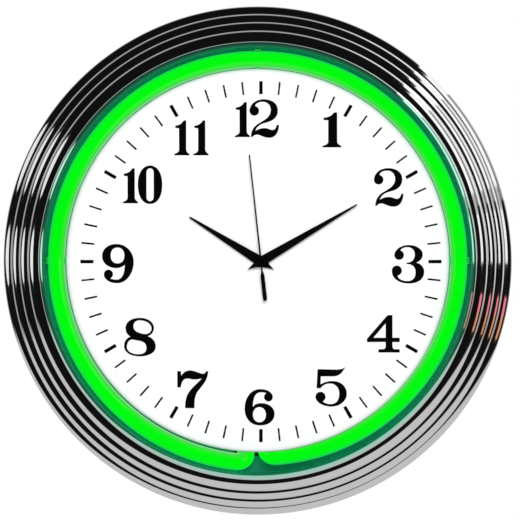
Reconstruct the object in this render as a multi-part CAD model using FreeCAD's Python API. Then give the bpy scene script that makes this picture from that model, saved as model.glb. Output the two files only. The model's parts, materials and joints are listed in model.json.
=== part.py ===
import FreeCAD, Part
import math
import os

# Neon wall clock, 15 in across. Millimetres. X is to the right seen from the front, the front
# faces -Y, the wall is the plane y = 0, and Z is up. Everything is drawn about the middle of the
# rim and moved down by HANG_Z when it is saved, so that the origin is the middle of the
# keyhole on the wall plane.

V = FreeCAD.Vector
Y_AXIS = V(0, 1, 0)

# ---------------------------------------------------------------- driving dimensions
CLOCK_R = 190.5          # 15 in across the rim
HANG_Z = 128.0           # keyhole above the middle of the rim
ARBOR_X = 2.4            # the hands' arbor sits a little right of and below the rim's middle,
ARBOR_Z = -0.8           # within the play of the dial's screws

# rim: its beads from the lip outwards. Each is one arc, given by its outer radius and by how far
# the surface leans outwards from straight ahead at its inner and at its outer edge, in degrees.
LIP_R = 160.2
LIP_FRONT = -76.0
RIM_BEADS = [(164.6, 5, 88), (172.9, -8, 80), (179.2, -2, 85), (185.3, 0, 88), (CLOCK_R, 10, 55)]
SKIRT_Y = -32.0
RIM_WALL = 2.0
GROOVE_WALL = (1.4, 1.5)     # how far the inner surface passes inside and behind each groove
RIM_SCREWS = 6
FIRST_RIM_SCREW = 30.0       # degrees from 12 o'clock
BOSS_CIRCLE_R = 182.0
BOSS_R = 3.4
RIM_PILOT_DEPTH = 11.0

# lens and gasket
LENS_R = 163.2
LENS_FRONT = -69.0
LENS_BACK = -67.0
GASKET_FRONT = -70.3
GASKET_BACK = -65.7
GASKET_R = 165.0
GASKET_INNER_R = 160.6
GASKET_PLAY = 0.2

# tray behind the dial
TRAY_R = 187.8
TRAY_FRONT = -36.0
TRAY_BACK = -34.5
TRAY_WALL_FOOT_R = 158.6
TRAY_WALL_TOP_R = 160.4
TRAY_WALL = 1.6
TRAY_LIP = 1.5           # thickness of the turned-out edge that the gasket stands on
TRAY_WINDOW_HALF = 30.0
TRAY_HOLE_R = 1.8
LEG_PORT_Z = (-147.0, -110.0)    # opening in the tray for the tube's two ends

# dial plate and its print
DIAL_R = 143.8
DIAL_FRONT = -57.0
DIAL_BACK = -55.0
DIAL_EDGE_R = 1.5
DIAL_BOSS_CIRCLE_R = 118.0
FIRST_DIAL_SCREW = 45.0
DIAL_SCREWS = 4
DIAL_BOSS_R = 3.5
DIAL_HOLE_R = 3.3
EAR_X = 33.0             # the movement's ears, either side of the arbor
EAR_FRONT = -49.5
EAR_BACK = -48.0
INK = 0.1
TRACK_OUTER_R = 135.3
TRACK_INNER_R = 125.5
HOUR_TICK_W = 2.6
MINUTE_TICK_W = 1.35
NUMERAL_CIRCLE_R = 108.2
FIGURE_UNIT = 0.27       # a figure is 100 units, so 27 mm, high

# neon tube
TUBE_Y = -49.0
TUBE_R = 6.5
TUBE_BORE_R = 5.5
RING_R = 150.8
LEFT_RING_R = 151.9      # the ring opens out a little towards its left end
RIGHT_RING_R = 147.2     # and closes in towards its right end
LEFT_LEG_X = -9.0
RIGHT_LEG_X = 6.4
BEND_R = 7.2
LEG_SLOPE = 35.0         # degrees back from the dial
LEG_LENGTH = 26.0
BOOT_R = 7.5
BOOT_GRIP = 16.0
BOOT_LENGTH = 22.0
HV_LEAD_R = 2.2
CLIP_ANGLES = (0.0, 90.0, 270.0)
CLIP_R = 8.0
CLIP_WIDTH = 5.3
CLIP_MOUTH = 55.0        # half the angle that a clip is open towards the lens
CLIP_FOOT_HALF = 3.0

# rear case and the ring that clamps it to the rim
CASE_WALL = 2.5
CASE_FLANGE_Y = -32.0
CASE_FLANGE_R = 179.0
CLAMP_INNER_R = 176.4
CLAMP_BACK = -30.5
PANEL_Z = -164.0         # flat panel under the case for the inlet and the switch
PANEL_Y = -17.0
WELL_HALF = 31.0         # half the width of the opening behind the movement
WELL_WALL = 2.0
VENTS_PER_SIDE = 8
FIRST_VENT = 48.0
VENT_STEP = 12.0
VENT_HALF = 1.5
VENT_RADII = (100.0, 142.0)
PLATE_T = 1.2            # steel hanger plate, let into the case's back
RIVET_R = 1.5
SLOT_HALF = 0.35         # half the width of a screw's slot
SLOT_DEPTH = 0.6

# low-voltage inlet, rocker switch and leads
INLET_X = 30.0
INLET_R = 5.5
INLET_LENGTH = 14.0
SWITCH_X = -30.0
SWITCH_LENGTH = 14.0
TERMINAL_XS = (-4.5, 4.5)
TERMINAL_TIP = 21.0
ROCKER_Z = PANEL_Z + 1.4
ROCKER_END_R = 8.2
ROCKER_TILT = 12.0
LEAD_R = 0.9

# high-voltage supply: its box, then its ears and screws
SUPPLY_BOX = (-40.0, 40.0, -29.0, -3.5, -90.0, -45.0)
SUPPLY_EAR = 9.0
SUPPLY_EAR_Y = (-8.5, -6.0)

# hands: (length, half width at the tip, half width at the root)
HOUR_HAND = (63.0, 0.6, 3.9)
MINUTE_HAND = (83.7, 0.55, 3.75)
SECOND_HAND = (80.5, 0.5, 0.65)
HAND_TAIL = 12.0
HAND_SHOULDER = -1.5
WEIGHT_NECK = -7.0
WEIGHT_ENDS = (-11.0, -28.2)     # the second hand's counterweight bar
WEIGHT_HALF = 1.55
HOUR_ANGLE = 301.9
MINUTE_ANGLE = 59.3
SECOND_ANGLE = -6.2

# movement: half its width, and its levels from front to back
MOVE_HALF = 28.0
MOVE_WALL = 1.2
MOVE_FRONT = -54.0
MOVE_FLOOR = MOVE_FRONT + MOVE_WALL
PLATE_FRONT = -49.6
PLATE_BACK = -48.8
COVER_FRONT = -39.2
COVER_BACK = -38.0
BATTERY_WALL_Z = -12.5
POST_PLACES = [(-24.5, 24.5), (24.5, 24.5), (-24.5, -9.0), (25.0, -9.8)]
RUN = 0.05               # running clearance of a pivot
PIVOT_R = 0.35
ARBOR_ROD_R = 0.5
SECONDS_ROD_R = 0.6
MINUTE_TUBE_R = 1.1
CANNON_R = 1.6
HOUR_PIPE_R = 2.5
KNOB_ROD_R = 1.0
CORE_Y = -42.7           # the coil's axis
CORE_Z = 22.4

# levels of the train from front to back
HOUR_WHEEL_Y = (-52.3, -51.5)
MOTION_PINION_Y = (-52.5, -51.0)
MOTION_WHEEL_Y = (-51.0, -50.3)
CANNON_PINION_Y = (-51.1, -50.1)
THIRD_PINION_Y = (-48.6, -47.3)
MINUTE_WHEEL_Y = (-48.4, -47.6)
ROTOR_PINION_Y = (-46.9, -45.5)
SECONDS_PINION_Y = (-46.8, -45.5)
MIDDLE_WHEEL_Y = (-46.6, -45.8)      # the third and the intermediate wheel
INTERMEDIATE_PINION_Y = (-44.9, -43.6)
SECONDS_WHEEL_Y = (-44.6, -43.8)
MAGNET_Y = (-43.3, -42.1)
STATOR_Y = (-43.1, -42.3)
BOARD_Y = (-43.6, -42.8)

# wheel train: teeth and modules of each mesh, driver first
ROTOR_MESH = (12, 60, 0.22)
INTERMEDIATE_MESH = (10, 60, 0.3)
SECONDS_MESH = (8, 60, 0.3)
THIRD_MESH = (8, 64, 10.2 / 36)
CANNON_MESH = (12, 36, 0.4)
MOTION_MESH = (10, 40, 0.384)

# directions of the wheels from one another, degrees from +X towards +Z
THIRD_DIRECTION = 190.0
INTERMEDIATE_DIRECTION = 75.0
ROTOR_DIRECTION = 10.0
MOTION_DIRECTION = -20.0
KNOB_DIRECTION = -10.0

# tooth forms: addendum in modules, and the share of the pitch that a root takes
PINION_FORM = (0.85, 0.50)
WHEEL_FORM = (0.75, 0.56)
DEDENDUM = 1.3
TIP_SHARE = 0.16

# bold serif figures in units of a hundredth of their height. A list is one outline: its first
# entry is where it starts, an entry of one point is a straight line, and an entry of three is
# a curve with two control points.
FIGURES = {
    "0": [
        [
            [(0, 52)],
            [(0, 85), (14, 105), (34, 105)],
            [(54, 105), (68, 85), (68, 52)],
            [(68, 18), (54, -2), (34, -2)],
            [(14, -2), (0, 18), (0, 52)],
        ],
        [
            [(24, 85)],
            [(24, 93), (29, 97), (34, 97)],
            [(39, 97), (44, 93), (44, 85)],
            [(44, 18)],
            [(44, 10), (39, 6), (34, 6)],
            [(29, 6), (24, 10), (24, 18)],
            [(24, 85)],
        ],
    ],
    "1": [
        [
            [(33, 97)],
            [(33, 16)],
            [(34, 9), (38, 7), (42, 4)],
            [(42, 0)],
            [(0, 0)],
            [(0, 4)],
            [(9, 7), (13, 10), (13, 17)],
            [(13, 75)],
            [(3, 76)],
            [(2, 82)],
            [(16, 84), (21, 89), (26, 97)],
            [(33, 97)],
        ],
    ],
    "2": [
        [
            [(0, 73)],
            [(1, 93), (19, 105), (40, 105)],
            [(64, 105), (79, 93), (79, 73)],
            [(78, 52), (62, 44), (45, 40)],
            [(32, 37), (20, 30), (17, 18)],
            [(27, 24), (36, 25), (43, 25)],
            [(52, 25), (56, 20), (64, 20)],
            [(71, 20), (74, 26), (76, 34)],
            [(82, 34)],
            [(82, 12), (71, -2), (55, -2)],
            [(39, -2), (30, 7), (20, 7)],
            [(14, 6), (10, 3), (8, 0)],
            [(4, 0)],
            [(4, 21), (14, 31), (27, 39)],
            [(46, 49), (59, 59), (59, 75)],
            [(59, 88), (51, 98), (36, 98)],
            [(26, 98), (19, 94), (16, 88)],
            [(13, 73)],
            [(0, 73)],
        ],
    ],
    "3": [
        [
            [(7, 79)],
            [(9, 94), (26, 106), (47, 106)],
            [(69, 106), (86, 94), (86, 80)],
            [(86, 68), (78, 61), (68, 57)],
            [(84, 54), (90, 42), (90, 31)],
            [(90, 11), (72, -1), (48, -1)],
            [(20, -1), (1, 12), (0, 34)],
            [(14, 35)],
            [(17, 18)],
            [(20, 11), (30, 6), (43, 6)],
            [(59, 6), (66, 16), (66, 31)],
            [(66, 44), (58, 53), (42, 53)],
            [(40, 55)],
            [(42, 57)],
            [(56, 58), (64, 66), (64, 80)],
            [(64, 92), (55, 100), (43, 100)],
            [(35, 100), (26, 96), (24, 90)],
            [(21, 78)],
            [(7, 79)],
        ],
    ],
    "4": [
        [
            [(71, 104)],
            [(71, 41)],
            [(91, 41)],
            [(91, 29)],
            [(71, 29)],
            [(71, 17)],
            [(71, 12), (74, 9), (80, 9)],
            [(91, 9)],
            [(91, 0)],
            [(32, 0)],
            [(32, 9)],
            [(42, 9)],
            [(49, 9), (52, 12), (52, 17)],
            [(52, 29)],
            [(0, 29)],
            [(0, 38)],
            [(52, 98)],
            [(56, 103), (58, 104), (62, 104)],
            [(71, 104)],
        ],
        [
            [(52, 81)],
            [(52, 41)],
            [(18, 41)],
            [(52, 81)],
        ],
    ],
    "5": [
        [
            [(6, 102)],
            [(61, 101)],
            [(73, 102), (79, 104), (83, 109)],
            [(80, 100), (70, 82), (50, 82)],
            [(15, 82)],
            [(14, 60)],
            [(27, 67), (35, 69), (47, 69)],
            [(70, 69), (87, 55), (87, 34)],
            [(87, 13), (67, -2), (44, -2)],
            [(18, -2), (0, 12), (0, 26)],
            [(14, 25)],
            [(22, 11)],
            [(27, 7), (35, 5), (42, 5)],
            [(58, 5), (66, 16), (66, 34)],
            [(66, 51), (55, 62), (41, 62)],
            [(28, 62), (21, 58), (14, 49)],
            [(3, 49)],
            [(6, 102)],
        ],
    ],
    "6": [
        [
            [(0, 46)],
            [(0, 76), (17, 100), (43, 100)],
            [(64, 100), (78, 90), (78, 79)],
            [(66, 78)],
            [(61, 88)],
            [(56, 91), (47, 92), (43, 91)],
            [(29, 90), (23, 74), (23, 51)],
            [(28, 58), (36, 61), (46, 61)],
            [(67, 61), (83, 49), (83, 31)],
            [(83, 12), (67, -1), (43, -1)],
            [(17, -1), (0, 18), (0, 46)],
        ],
        [
            [(23, 29)],
            [(23, 42), (31, 50), (41, 50)],
            [(51, 50), (59, 42), (59, 29)],
            [(59, 16), (51, 8), (41, 8)],
            [(31, 8), (23, 16), (23, 29)],
        ],
    ],
    "7": [
        [
            [(1, 103)],
            [(11, 103)],
            [(12, 91)],
            [(20, 101), (26, 105), (38, 105)],
            [(52, 104), (64, 95), (74, 96)],
            [(78, 96), (79, 99), (81, 103)],
            [(87, 103)],
            [(86, 73), (65, 58), (56, 44)],
            [(49, 29), (48, 18), (49, 0)],
            [(23, 0)],
            [(22, 21), (27, 39), (38, 51)],
            [(49, 64), (61, 73), (69, 83)],
            [(58, 79), (46, 79), (38, 81)],
            [(25, 85), (13, 81), (11, 58)],
            [(1, 58)],
            [(1, 103)],
        ],
    ],
    "8": [
        [
            [(18, 54)],
            [(7, 60), (4, 68), (4, 78)],
            [(4, 94), (19, 106), (43, 106)],
            [(67, 106), (83, 94), (83, 78)],
            [(83, 67), (76, 58), (66, 55)],
            [(81, 50), (88, 39), (88, 26)],
            [(88, 10), (69, -1), (44, -1)],
            [(18, -1), (0, 10), (0, 28)],
            [(0, 40), (6, 50), (18, 54)],
        ],
        [
            [(43, 99)],
            [(62, 99), (76, 89), (76, 76)],
            [(76, 67), (68, 61), (58, 61)],
            [(38, 63), (26, 71), (26, 82)],
            [(26, 92), (32, 99), (43, 99)],
        ],
        [
            [(22, 46)],
            [(31, 44), (38, 43), (44, 42)],
            [(58, 39), (62, 32), (62, 21)],
            [(61, 11), (54, 5), (40, 5)],
            [(19, 5), (8, 14), (8, 26)],
            [(8, 36), (14, 45), (22, 46)],
        ],
    ],
    "9": [
        [
            [(88, 57)],
            [(88, 26), (68, -2), (42, -2)],
            [(20, -2), (5, 9), (5, 23)],
            [(18, 23)],
            [(22, 12)],
            [(27, 9), (35, 8), (42, 8)],
            [(56, 10), (63, 26), (63, 49)],
            [(58, 44), (48, 40), (39, 40)],
            [(16, 40), (0, 55), (0, 73)],
            [(0, 93), (16, 107), (40, 107)],
            [(68, 107), (88, 84), (88, 57)],
        ],
        [
            [(24, 75)],
            [(24, 89), (32, 97), (43, 97)],
            [(54, 97), (62, 89), (62, 75)],
            [(62, 61), (54, 53), (43, 53)],
            [(32, 53), (24, 61), (24, 75)],
        ],
    ],
}

# round terminals of the figures: (x, height, radius)
BALLS = {
    "2": [(13.3, 73, 13.3)],
    "3": [(20.5, 78, 13.3), (14, 35, 14)],
    "5": [(14, 25, 14)],
    "6": [(66, 78, 12.2)],
    "9": [(17.7, 23, 12.7)],
}

# the space between the two figures of a numeral, in figure units
FIGURE_GAPS = {"10": -0.5, "11": 11.0, "12": -1.5}

# the numerals are set by eye: how far each one stands from its even place, as (x, z)
NUMERAL_SHIFTS = {
    1: (-1.0, 5.0), 2: (2.0, 1.5), 3: (2.0, -2.0), 4: (-2.0, 0.0), 5: (-1.5, 0.0), 6: (-1.0, -1.0),
    7: (3.0, -2.0), 8: (3.0, -2.5), 9: (1.0, -1.5), 10: (5.0, 3.5), 11: (2.0, -1.0), 12: (-3.0, -1.0),
}
LONE_ONE_WIDTH = 1.25    # the 1 that stands alone is cut wider than the others


# ---------------------------------------------------------------- drawing helpers
def disc(radius, y0, y1, x=0.0, z=0.0):
    """A cylinder along Y from y0 to y1."""
    return Part.makeCylinder(radius, y1 - y0, V(x, y0, z), Y_AXIS)


def ring(outer, inner, y0, y1, x=0.0, z=0.0):
    return disc(outer, y0, y1, x, z).cut(disc(inner, y0 - 1, y1 + 1, x, z))


def block(x0, x1, y0, y1, z0, z1):
    return Part.makeBox(x1 - x0, y1 - y0, z1 - z0, V(x0, y0, z0))


def turned(edges):
    """A solid of revolution about Y from a closed outline of edges."""
    face = Part.Face(Part.Wire(edges))
    return face.revolve(V(0, 0, 0), Y_AXIS, 360)


def section(points):
    """Straight edges through (radius, y) points, closed."""
    corners = [V(r, y, 0) for r, y in points]
    return [Part.LineSegment(a, b).toShape() for a, b in zip(corners, corners[1:] + corners[:1])]


def polar(radius, clock_degrees):
    """(x, z) at a radius and an angle clockwise from 12 o'clock."""
    a = math.radians(clock_degrees)
    return radius * math.sin(a), radius * math.cos(a)


def offset(origin, distance, degrees):
    """(x, z) at a distance from origin, degrees from +X towards +Z."""
    a = math.radians(degrees)
    return origin[0] + distance * math.cos(a), origin[1] + distance * math.sin(a)


def slab(points, y0, y1):
    """A flat plate with straight sides, from (x, z) corners."""
    corners = [V(x, y0, z) for x, z in points]
    return Part.Face(Part.makePolygon(corners + corners[:1])).extrude(V(0, y1 - y0, 0))


def turn(shape, clock_degrees, x=0.0, z=0.0):
    """Turn a shape clockwise, seen from the front, about a point."""
    copy = shape.copy()
    copy.rotate(V(x, 0, z), Y_AXIS, clock_degrees)
    return copy


def save(node, shape):
    """Move a finished piece into the clock's frame and write its STEP file."""
    piece = shape.copy()
    piece.translate(V(0, 0, -HANG_Z))
    solids = piece.Solids
    if not piece.isValid() or not solids:
        raise ValueError(f"{node} is not a valid solid")
    out = solids[0] if len(solids) == 1 else Part.makeCompound(solids)
    out.exportStep(f"parts/{node}.step")
    print(f"{node:28s} solids {len(solids):3d}  volume {sum(s.Volume for s in solids):12.2f}")


# ---------------------------------------------------------------- rim, lens and gasket
def rim_beads():
    """The beads in section: the inner edge, middle and outer edge of each, from the lip outwards."""
    beads = []
    edge = V(LIP_R, LIP_FRONT, 0)
    for outer_r, inner_lean, outer_lean in RIM_BEADS:
        a, b = math.radians(inner_lean), math.radians(outer_lean)
        radius = (outer_r - edge.x) / (math.sin(b) - math.sin(a))
        centre = edge + V(-math.sin(a), math.cos(a), 0) * radius
        leans = (a, (a + b) / 2, b)
        bead = [centre + V(math.sin(t), -math.cos(t), 0) * radius for t in leans]
        beads.append(bead)
        edge = bead[2]
    return beads


def rim_outline(beads):
    """The rim's outer surface in section: the beads, the skirt, and the wall inside the lip."""
    edges = [Part.Arc(*bead).toShape() for bead in beads]
    corners = [beads[-1][2], V(CLOCK_R, SKIRT_Y, 0), V(LIP_R, SKIRT_Y, 0), beads[0][0]]
    edges += [Part.LineSegment(a, b).toShape() for a, b in zip(corners, corners[1:])]
    return edges


def rim_hollow(beads):
    """The space inside the rim: its inner surface runs a wall's thickness under the grooves."""
    inner_r = CLOCK_R - RIM_WALL
    seat_r = GASKET_R + GASKET_PLAY
    seat_back = GASKET_FRONT + 2.1
    points = [(LIP_R, SKIRT_Y), (LIP_R, GASKET_FRONT), (seat_r, GASKET_FRONT), (seat_r, seat_back)]
    points += [(b[2].x - GROOVE_WALL[0], b[2].y + GROOVE_WALL[1]) for b in beads[1:4]]
    points += [(inner_r, beads[4][2].y + GROOVE_WALL[1]), (inner_r, SKIRT_Y)]
    return turned(section(points))


def screw_places(count, radius, first):
    return [polar(radius, first + 360.0 / count * k) for k in range(count)]


def rim_screw_places():
    return screw_places(RIM_SCREWS, BOSS_CIRCLE_R, FIRST_RIM_SCREW)


def dial_screw_places():
    return screw_places(DIAL_SCREWS, DIAL_BOSS_CIRCLE_R, FIRST_DIAL_SCREW)


def chrome_rim():
    beads = rim_beads()
    places = rim_screw_places()
    bosses = [disc(BOSS_R, -70.0, TRAY_FRONT, x, z) for x, z in places]
    pilots = [disc(1.25, TRAY_FRONT - RIM_PILOT_DEPTH, TRAY_FRONT, x, z) for x, z in places]
    hollow = rim_hollow(beads).cut(Part.makeCompound(bosses)).fuse(pilots)
    return turned(rim_outline(beads)).cut(hollow)


def glass_lens():
    return disc(LENS_R, LENS_FRONT, LENS_BACK)


def lens_gasket():
    channel = [
        (GASKET_INNER_R, GASKET_FRONT), (GASKET_R, GASKET_FRONT), (GASKET_R, GASKET_BACK),
        (GASKET_INNER_R, GASKET_BACK), (GASKET_INNER_R, LENS_BACK), (LENS_R, LENS_BACK),
        (LENS_R, LENS_FRONT), (GASKET_INNER_R, LENS_FRONT),
    ]
    return turned(section(channel))


# ---------------------------------------------------------------- tray, dial and print
def clip_places():
    return [polar(RING_R, angle) for angle in CLIP_ANGLES]


def reflector_tray():
    top_y = GASKET_BACK + TRAY_LIP
    profile = [
        (0, TRAY_BACK), (TRAY_R, TRAY_BACK), (TRAY_R, TRAY_FRONT),
        (TRAY_WALL_FOOT_R + TRAY_WALL, TRAY_FRONT), (TRAY_WALL_TOP_R + TRAY_WALL, top_y),
        (GASKET_R, top_y), (GASKET_R, GASKET_BACK), (TRAY_WALL_TOP_R, GASKET_BACK),
        (TRAY_WALL_FOOT_R, TRAY_FRONT), (0, TRAY_FRONT),
    ]
    tray = turned(section(profile))
    y0, y1 = TRAY_FRONT - 1, TRAY_BACK + 1
    half = TRAY_WINDOW_HALF
    window = block(ARBOR_X - half, ARBOR_X + half, y0, y1, ARBOR_Z - half, ARBOR_Z + half)
    leg_port = block(LEFT_LEG_X - 9, RIGHT_LEG_X + 9, y0, y1, *LEG_PORT_Z)
    holes = [disc(TRAY_HOLE_R, y0, y1, x, z) for x, z in rim_screw_places()]
    holes += [disc(1.5, y0, y1, x, z) for x, z in dial_screw_places()]
    holes += [disc(1.3, y0, y1, x, z) for x, z in clip_places()]
    return tray.cut([window, leg_port] + holes)


def ear_places():
    return [(ARBOR_X + side * EAR_X, ARBOR_Z) for side in (-1, 1)]


def dial_plate():
    """A moulded disc with a rounded edge, four long bosses for the tray and two for the movement."""
    edge = DIAL_EDGE_R
    start = V(0, DIAL_BACK, 0)
    corners = [start, V(0, DIAL_FRONT, 0), V(DIAL_R - edge, DIAL_FRONT, 0)]
    edges = [Part.LineSegment(a, b).toShape() for a, b in zip(corners, corners[1:])]
    bend = edge * (1 - math.sqrt(0.5))
    round_middle = V(DIAL_R - bend, DIAL_FRONT + bend, 0)
    round_end = V(DIAL_R, DIAL_FRONT + edge, 0)
    edges.append(Part.Arc(corners[-1], round_middle, round_end).toShape())
    edges.append(Part.LineSegment(round_end, V(DIAL_R, DIAL_BACK, 0)).toShape())
    edges.append(Part.LineSegment(V(DIAL_R, DIAL_BACK, 0), start).toShape())
    plate = turned(edges)
    posts = []
    pilots = [disc(DIAL_HOLE_R, DIAL_FRONT - 1, DIAL_BACK + 1, ARBOR_X, ARBOR_Z)]
    for x, z in dial_screw_places():
        posts.append(disc(DIAL_BOSS_R, DIAL_BACK, TRAY_FRONT, x, z))
        pilots.append(disc(1.1, TRAY_FRONT - 10, TRAY_FRONT, x, z))
    for x, z in ear_places():
        posts.append(disc(3.0, DIAL_BACK, EAR_FRONT, x, z))
        pilots.append(disc(0.9, EAR_FRONT - 4.5, EAR_FRONT, x, z))
    return plate.fuse(posts).cut(pilots)


def figure_face(outline, x, z, y, unit_x):
    """The flat face inside one outline of a figure."""
    def place(point):
        return V(x + point[0] * unit_x, y, z + point[1] * FIGURE_UNIT)

    at = place(outline[0][0])
    edges = []
    for step in outline[1:]:
        poles = [at] + [place(p) for p in step]
        if len(step) == 1:
            edges.append(Part.LineSegment(poles[0], poles[1]).toShape())
        else:
            curve = Part.BezierCurve()
            curve.setPoles(poles)
            edges.append(curve.toShape())
        at = poles[-1]
    return Part.Face(Part.Wire(edges))


def figure(name, x, z, unit_x):
    """One printed figure with its lower left corner at (x, z)."""
    y = DIAL_FRONT - INK
    faces = [figure_face(outline, x, z, y, unit_x) for outline in FIGURES[name]]
    layers = [face.extrude(V(0, INK, 0)) for face in faces]
    solid = layers[0]
    for bx, bz, radius in BALLS.get(name, []):
        ball = disc(radius * FIGURE_UNIT, y, DIAL_FRONT, x + bx * unit_x, z + bz * FIGURE_UNIT)
        solid = solid.fuse(ball)
    return solid.cut(layers[1:]) if layers[1:] else solid


def figure_span(name):
    points = [p for outline in FIGURES[name] for step in outline for p in step]
    xs = [p[0] for p in points]
    zs = [p[1] for p in points]
    return min(xs), max(xs), min(zs), max(zs)


def dial_numerals():
    solids = []
    for hour in range(1, 13):
        text = str(hour)
        unit_x = FIGURE_UNIT * (LONE_ONE_WIDTH if hour == 1 else 1)
        spans = [figure_span(name) for name in text]
        gap = FIGURE_GAPS.get(text, 0.0)
        width = sum(s[1] - s[0] for s in spans) + gap * (len(text) - 1)
        low = min(s[2] for s in spans)
        high = max(s[3] for s in spans)
        x, z = polar(NUMERAL_CIRCLE_R, 30.0 * hour)
        shift_x, shift_z = NUMERAL_SHIFTS[hour]
        pen = ARBOR_X + x + shift_x - width / 2 * unit_x
        foot = ARBOR_Z + z + shift_z - (low + high) / 2 * FIGURE_UNIT
        for name, span in zip(text, spans):
            solids += figure(name, pen - span[0] * unit_x, foot, unit_x).Solids
            pen += (span[1] - span[0] + gap) * unit_x
    return Part.makeCompound(solids)


def minute_track():
    ticks = []
    for minute in range(60):
        half = (HOUR_TICK_W if minute % 5 == 0 else MINUTE_TICK_W) / 2
        tick = block(ARBOR_X - half, ARBOR_X + half, DIAL_FRONT - INK, DIAL_FRONT,
                     ARBOR_Z + TRACK_INNER_R, ARBOR_Z + TRACK_OUTER_R)
        ticks.append(turn(tick, 6.0 * minute, ARBOR_X, ARBOR_Z))
    return Part.makeCompound(ticks)


# ---------------------------------------------------------------- neon tube and its fittings
def leg_direction():
    slope = math.radians(LEG_SLOPE)
    return V(0, math.sin(slope), math.cos(slope))


def leg_bend(side):
    """The bend at one end of the ring: where it leaves the ring, its middle, and its end."""
    ring_r = LEFT_RING_R if side < 0 else RIGHT_RING_R
    middle_x = ring_r - RING_R if side < 0 else RING_R - ring_r
    leg_x = LEFT_LEG_X if side < 0 else RIGHT_LEG_X
    direction = leg_direction()
    start_x = leg_x + side * BEND_R
    for _ in range(8):
        across = start_x - middle_x
        down = -math.sqrt(ring_r ** 2 - across ** 2)
        tangent = V(side * down, 0, -side * across) * (1 / ring_r)
        half_turn = math.acos(tangent.dot(direction)) / 2
        reach = BEND_R * math.tan(half_turn)
        start_x = leg_x - tangent.x * reach
    start = V(start_x, TUBE_Y, down)
    corner = start + tangent * reach
    end = corner + direction * reach
    inward = ((start + end) * 0.5 - corner).normalize()
    middle = corner + inward * (BEND_R / math.cos(half_turn) - BEND_R)
    return start, middle, end


def leg_tip(side):
    return leg_bend(side)[2] + leg_direction() * LEG_LENGTH


def tube_path():
    """The tube's centreline: left leg, ring, right leg."""
    left_start, left_middle, left_end = leg_bend(-1)
    right_start, right_middle, right_end = leg_bend(1)
    left_tip = leg_tip(-1)
    right_tip = leg_tip(1)
    nine = V(-RING_R, TUBE_Y, 0)
    three = V(RING_R, TUBE_Y, 0)
    left_low = V(LEFT_RING_R - RING_R, TUBE_Y, 0) + V(-1, 0, -1) * (LEFT_RING_R * math.sqrt(0.5))
    right_low = V(RING_R - RIGHT_RING_R, TUBE_Y, 0) + V(1, 0, -1) * (RIGHT_RING_R * math.sqrt(0.5))
    return Part.Wire([
        Part.LineSegment(left_tip, left_end).toShape(),
        Part.Arc(left_end, left_middle, left_start).toShape(),
        Part.Arc(left_start, left_low, nine).toShape(),
        Part.Arc(nine, V(0, TUBE_Y, RING_R), three).toShape(),
        Part.Arc(three, right_low, right_start).toShape(),
        Part.Arc(right_start, right_middle, right_end).toShape(),
        Part.LineSegment(right_end, right_tip).toShape(),
    ])


def swept(path, radius):
    """A round rod along a path."""
    first = path.OrderedEdges[0]
    start = first.valueAt(first.FirstParameter)
    along = first.tangentAt(first.FirstParameter)
    hoop = Part.Wire(Part.makeCircle(radius, start, along))
    return path.makePipeShell([hoop], True, False)


def neon_tube():
    path = tube_path()
    return swept(path, TUBE_R).cut(swept(path, TUBE_BORE_R))


def rod(start, direction, length, radius):
    return Part.makeCylinder(radius, length, start, direction)


def electrode(side):
    """A metal cup inside the tube, the plug that seals it, and its lead wire."""
    tip = leg_tip(side)
    direction = leg_direction()
    plug = rod(tip - direction * 4, direction, 4, TUBE_BORE_R)
    cup = rod(tip - direction * 20, direction, 16, 4.0)
    hollow = rod(tip - direction * 20, direction, 13, 3.6)
    wire = rod(tip, direction, 3.0, 0.5)
    return plug.fuse([cup.cut(hollow), wire])


def electrode_boot(side):
    tip = leg_tip(side)
    direction = leg_direction()
    mouth = tip - direction * BOOT_GRIP
    boot = rod(mouth, direction, BOOT_LENGTH, BOOT_R)
    sleeve = rod(mouth, direction, BOOT_GRIP, TUBE_R)
    throat = rod(tip, direction, 3.0, 1.5)
    exit_hole = rod(tip + direction * 3, direction, BOOT_LENGTH, HV_LEAD_R)
    return boot.cut([sleeve, throat, exit_hole])


def rounded_path(points):
    """Straight runs joined by tangent arcs, each as large as its runs allow."""
    edges = []
    at = points[0]
    for before, corner, after in zip(points, points[1:], points[2:]):
        into = (corner - before).normalize()
        out = (after - corner).normalize()
        half_turn = into.getAngle(out) / 2
        reach = 0.45 * min((corner - before).Length, (after - corner).Length)
        radius = reach / math.tan(half_turn)
        start = corner - into * reach
        end = corner + out * reach
        inward = ((start + end) * 0.5 - corner).normalize()
        middle = corner + inward * (radius / math.cos(half_turn) - radius)
        edges.append(Part.LineSegment(at, start).toShape())
        edges.append(Part.Arc(start, middle, end).toShape())
        at = end
    edges.append(Part.LineSegment(at, points[-1]).toShape())
    return Part.Wire(edges)


def hv_lead(side):
    """The lead from an electrode boot up into the supply's lower side."""
    tip = leg_tip(side)
    direction = leg_direction()
    start = tip + direction * 3
    knee = tip + direction * 24
    return swept(rounded_path([start, knee, V(knee.x, knee.y, SUPPLY_BOX[4])]), HV_LEAD_R)


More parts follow.
